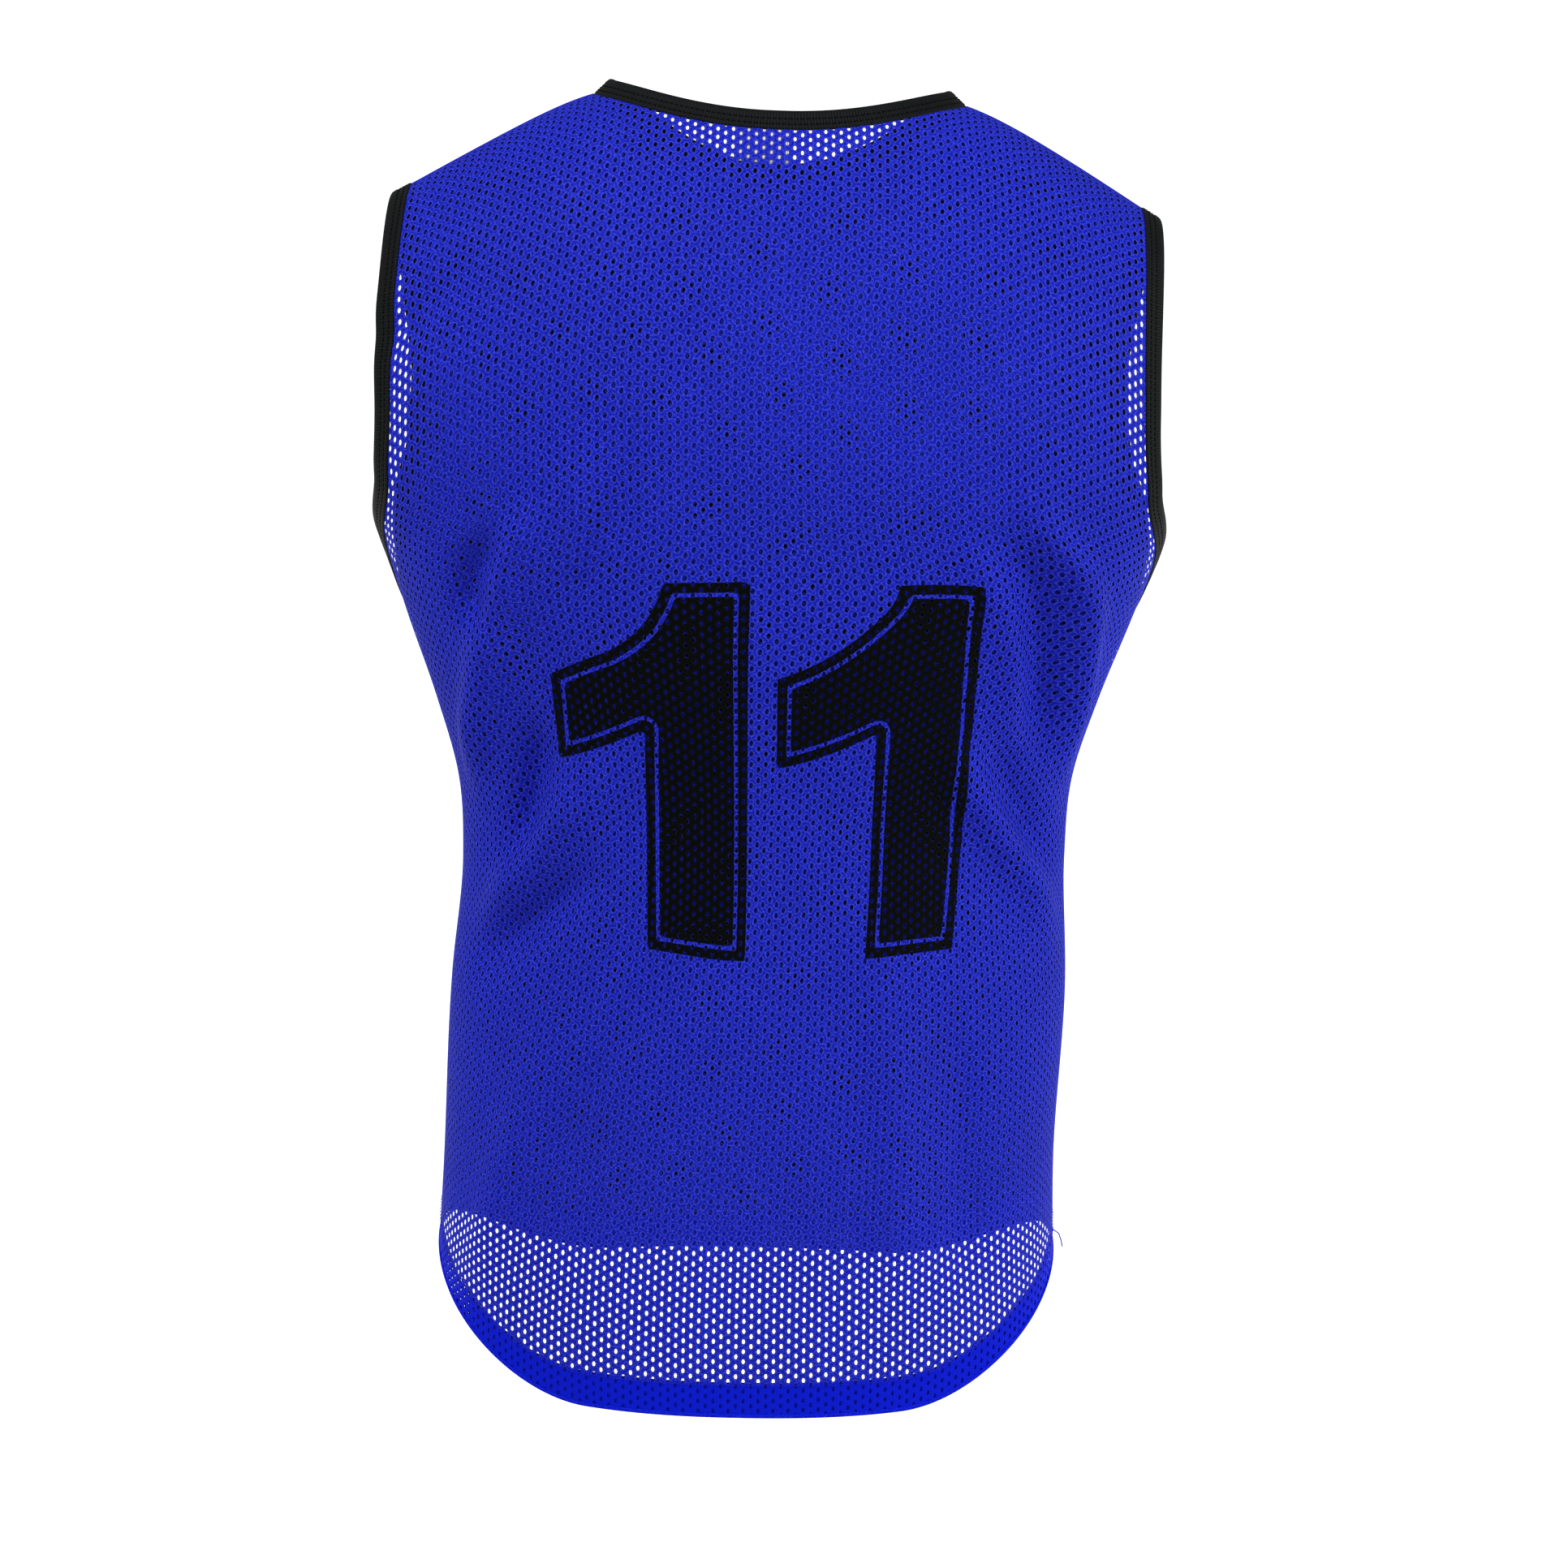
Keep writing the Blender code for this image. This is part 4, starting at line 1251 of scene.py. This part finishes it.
TWIN_ROWS = ((0.15, 0.00072), (0.47, 0.00078))
TAPE_THREAD = 0.0008
STITCHES = {}
for label, edge in EDGE_FRAMES.items():
    rows = rows_on(edge, across_tape(label, TWIN_ROWS))
    STITCHES[label] = sew(STITCH_NAMES[label], rows, shaded_black_thread, Thickness=TAPE_THREAD)
print("stitched", {name: len(obj.data.polygons) for name, obj in STITCHES.items()}, "faces")

# %% [markdown]
# ## Hem edge and hem stitches
# The fold at the hem is a soft rolled edge, and a row of blue stitches holds the turning. The
# stitches nearly vanish in the cloth of the same colour, but the row draws a fine line. The
# rolled edge has the hem's brighter blue, which is painted light, and outlines the bottom of
# the bib.

# %% Hem edge
HEM_ROLL = (
    (-0.0016, 0.00025),
    (-0.0004, 0.00055),
    (0.0005, 0.00015),
    (0.0007, -0.00045),
    (0.0005, -0.00105),
    (-0.0004, -0.00145),
    (-0.0016, -0.00115),
    (-0.0018, -0.00045),
)
HEM_STITCH_IN = 0.0012
HEM_STITCH_LIFT = 0.00040
BELOW = (0.0, 0.0, -2.0)
HEM_PIECES = []
for side in SIDE:
    across, up = hem_edge()
    fold = edge_frame([(side, across, up)], BELOW, looped=False)
    HEM_PIECES.append(sweep(side + "_hem_fold", fold, HEM_ROLL, hem_mesh, looped=False))
    row = edge_frame([(side, across, up + HEM_BAND - HEM_STITCH_IN)], BELOW, looped=False)
    row = rows_on(row, [(0.0, HEM_STITCH_LIFT)])
    HEM_PIECES.append(sew(side + "_hem_stitches", row, blue_thread,
                          looped=False, Pitch=0.0030, Length=0.0024, Thickness=0.0004))
print("hem pieces", [piece.name for piece in HEM_PIECES])

# %% [markdown]
# ## Seams
# The panels are joined at the shoulders and sides with an overlocked seam. Outside, only the
# narrow line shows where the two edges meet. Inside, the seam allowance lies flat against the
# back panel, with slanted thread over its edge. It is a flat section swept along the seam,
# just inside the cloth, with two rows of slanted stitches.

# %% Side and shoulder seams
ALLOWANCE = 0.0060
SEAM_SECTION = (
    (-0.0006, 0.00020),
    (0.0004, 0.00035),
    (0.0012, -0.00020),
    (ALLOWANCE - 0.0004, -0.00060),
    (ALLOWANCE, -0.00100),
    (ALLOWANCE - 0.0004, -0.00160),
    (0.0010, -0.00140),
    (-0.0006, -0.00090),
)


ABOVE_HEM = 0.0008
SHORT_OF_END = 0.0015
SIDE_STEPS = 120
SHOULDER_STEPS = 40
OVERLOCK_ROWS = ((ALLOWANCE * 0.8, -0.0016), (ALLOWANCE * 0.45, -0.0016))
BEHIND = (0.0, -1.0, -0.3)


def side_seam(hand):
    """The side seam from just above the hem to the underarm, read off the back panel."""
    low = hem_height(np.array([hand * HALF_WIDTH]))[0]
    up = np.linspace(low + ABOVE_HEM, -SHORT_OF_END, SIDE_STEPS)
    return np.full(SIDE_STEPS, hand * (HALF_WIDTH - SEAM_GAP)), up


def shoulder_seam(hand):
    ends = (hand * (NECK_HALF + SHORT_OF_END), hand * (TIP_HALF - SHORT_OF_END))
    return top_edge("back", *ends, SHOULDER_STEPS)


SEAMS = []
for label, hand in HANDS.items():
    for kind, line in (("side", side_seam(hand)), ("shoulder", shoulder_seam(hand))):
        seam = edge_frame([("back", *line)], BEHIND, looped=False)
        name = f"{kind}_seam_{label}"
        SEAMS.append(sweep(name, seam, SEAM_SECTION, plain_mesh, looped=False))
        rows = rows_on(seam, OVERLOCK_ROWS)
        SEAMS.append(sew(name + "_overlock", rows, blue_thread, looped=False,
                         Pitch=0.0024, Length=0.0030, Thickness=0.0004, Slant=0.9))
print("seams", [piece.name for piece in SEAMS])

# %% [markdown]
# ## A loose thread
# Where the right side seam ends, the overlock thread was cut a centimetre long and hangs out
# beside the hem. It is one thread swept along a short bent path.

# %% Thread tail
TAIL_PATH = (
    (-0.0010, 0.0030),
    (0.0015, 0.0005),
    (0.0042, -0.0015),
    (0.0056, -0.0055),
    (0.0064, -0.0095),
)
TAIL_THICK = 0.0007
TAIL_STEPS = 17


def thread_tail():
    """A cut end of blue thread at the foot of the right side seam, bent in one upright plane."""
    end = side_seam(1.0)
    start = wall("back", end[0][:1], end[1][:1])
    order = np.arange(len(TAIL_PATH))
    steps = np.linspace(0, order[-1], TAIL_STEPS)
    places = np.repeat(start, TAIL_STEPS, axis=0)
    for axis, bends in zip((0, 2), np.transpose(TAIL_PATH)):
        places[:, axis] += np.interp(steps, order, bends)
    outs = np.tile((0.0, SIDE["back"], 0.0), (TAIL_STEPS, 1))
    away = unit(np.cross(np.gradient(places, axis=0), outs))
    turn = np.linspace(0.0, WAVE_TURN, 7)[:-1]
    rows = TAIL_THICK / 2 * np.stack([np.cos(turn), np.sin(turn)], axis=1)
    return sweep("thread_tail", (places, outs, away), rows, blue_thread, looped=False)


loose_thread = thread_tail()
print("thread tail", len(loose_thread.data.polygons), "faces")

# %% [markdown]
# ## The neck label
# A small white label is sewn in below the back neckline and shows through the holes of the
# back. It is a plain piece of woven tape with nothing on it.

# %% Label
LABEL_SPAN = (-0.0217, 0.0045)
LABEL_LENGTH = 0.0225
LABEL_LIFT = -0.0005
LABEL_CURL = -0.0004
LABEL_THICK = 0.0004
LABEL_COLUMNS = 14
LABEL_ROWS = 12


def make_label():
    across = np.linspace(*LABEL_SPAN, LABEL_COLUMNS)
    down = np.linspace(0.0, LABEL_LENGTH, LABEL_ROWS)[:, None]
    up = top_height("back", across) - down
    across = np.broadcast_to(across, up.shape)
    places, outs = wall_frame("back", across, up)
    lift = LABEL_LIFT + LABEL_CURL * (down / LABEL_LENGTH) ** 2
    label = cloth_grid("blank_label", across, up, places + outs * lift[..., None], True)
    label.data.materials.append(white_tape)
    solid = label.modifiers.new("Tape thickness", "SOLIDIFY")
    solid.thickness = LABEL_THICK
    solid.offset = -1.0
    return label


blank_label = make_label()
print("label", round(LABEL_LENGTH * 1000, 1), "mm long, blank")

# %% [markdown]
# ## Floor and light
# The photograph has a plain white background and soft, even light, with more of it from above.
# A large matt white floor glows in the half that lies behind the bib, so it comes out as pure
# white and needs no backdrop that would block the other views. In front it hardly glows, or it
# would light the hem from below. The highest lamp lights the shoulders and the upper sides of
# the creases, and two broad, weaker ones at the sides keep the shadows soft.

# %% Floor
FLOOR_LEVEL = -1.45
FLOOR_REACH = 200.0
FLOOR_GLOW = 0.95
FLOOR_GLOW_FRONT = 0.10
GLOW_START = -0.30
GLOW_FULL = 0.75
floor = flat_face("floor", [(x * FLOOR_REACH, y * FLOOR_REACH, FLOOR_LEVEL)
                            for x, y in ((-1, -1), (1, -1), (1, 1), (-1, 1))])
pale = bpy.data.materials.new("matt_white_painted_floor")
pale.use_nodes = True
tree = pale.node_tree
paint = tree.nodes["Principled BSDF"]
paint.inputs["Base Color"].default_value = linear("#ececec")
paint.inputs["Roughness"].default_value = 0.9
paint.inputs["Emission Color"].default_value = linear("#ffffff")
place = add_node(tree, "ShaderNodeTexCoord").outputs["Object"]
level_place = add_node(tree, "ShaderNodeVectorMath", {
    0: place, 1: (1.0, 1.0, 0.0)}, operation="MULTIPLY")
heading = add_node(tree, "ShaderNodeVectorMath", {0: level_place}, operation="NORMALIZE")
behind = add_node(tree, "ShaderNodeSeparateXYZ", {0: heading})
glow = add_node(tree, "ShaderNodeMapRange", {
    "Value": behind.outputs["Y"], "From Min": GLOW_START, "From Max": GLOW_FULL,
    "To Min": FLOOR_GLOW_FRONT, "To Max": FLOOR_GLOW}, interpolation_type="SMOOTHSTEP")
tree.links.new(glow.outputs["Result"], paint.inputs["Emission Strength"])
floor.data.materials.append(pale)

# %% Lights
LAMP_COLUMNS = ("name", "place", "aim", "size", "watts")
LAMPS = (
    ("key", (-1.0, -1.5, 2.4), (0.0, 0.0, -0.20), 0.8, 60.0),
    ("fill_right", (2.4, -1.0, 0.1), (0.0, 0.0, -0.45), 1.2, 36.0),
    ("fill_left", (-2.6, -1.0, 0.6), (0.0, 0.0, -0.35), 1.4, 10.0),
)
WORLD_STRENGTH = 0.30
for row in LAMPS:
    lamp = dict(zip(LAMP_COLUMNS, row))
    light = bpy.data.lights.new(lamp["name"], "AREA")
    light.shape = "DISK"
    light.size = lamp["size"]
    light.energy = lamp["watts"]
    obj = bpy.data.objects.new(lamp["name"], light)
    obj.location = lamp["place"]
    direction = Vector(lamp["aim"]) - Vector(lamp["place"])
    obj.rotation_euler = direction.to_track_quat("-Z", "Y").to_euler()
    bpy.context.scene.collection.objects.link(obj)
world = bpy.data.worlds.new("soft_white")
world.use_nodes = True
sky = world.node_tree.nodes["Background"]
sky.inputs["Color"].default_value = (1.0, 1.0, 1.0, 1.0)
sky.inputs["Strength"].default_value = WORLD_STRENGTH
bpy.context.scene.world = world
bpy.context.scene.view_settings.view_transform = "Standard"
print("lamps", [row[0] for row in LAMPS])

# %% [markdown]
# ## Handing the pieces over
# Each piece rides on the one body of the frame and stands for its solid, which is hidden. For
# each panel the flat area of its turned band is worked out from the cut.

# %% Ride and replace
for obj in list(DRAPES.values()) + list(CUTS.values()):
    bpy.data.objects.remove(obj)

SLOTS = {
    "mesh_cloth": [back_mesh, front_mesh, *HEM_TURNINGS.values(), *HEM_PIECES, *SEAMS,
                   loose_thread],
    "binding": [*TAPES.values(), *STITCHES.values()],
    "label": [blank_label],
}
for slot, found in SLOTS.items():
    for piece in found:
        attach(piece, "root")

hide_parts("back_panel")
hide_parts("front_panel")
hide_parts("neck_binding")
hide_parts("armhole_binding_left")
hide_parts("armhole_binding_right")
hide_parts("neck_label")

for side, piece in (("back", back_mesh), ("front", front_mesh)):
    turned = flat_area(band_outline(side))
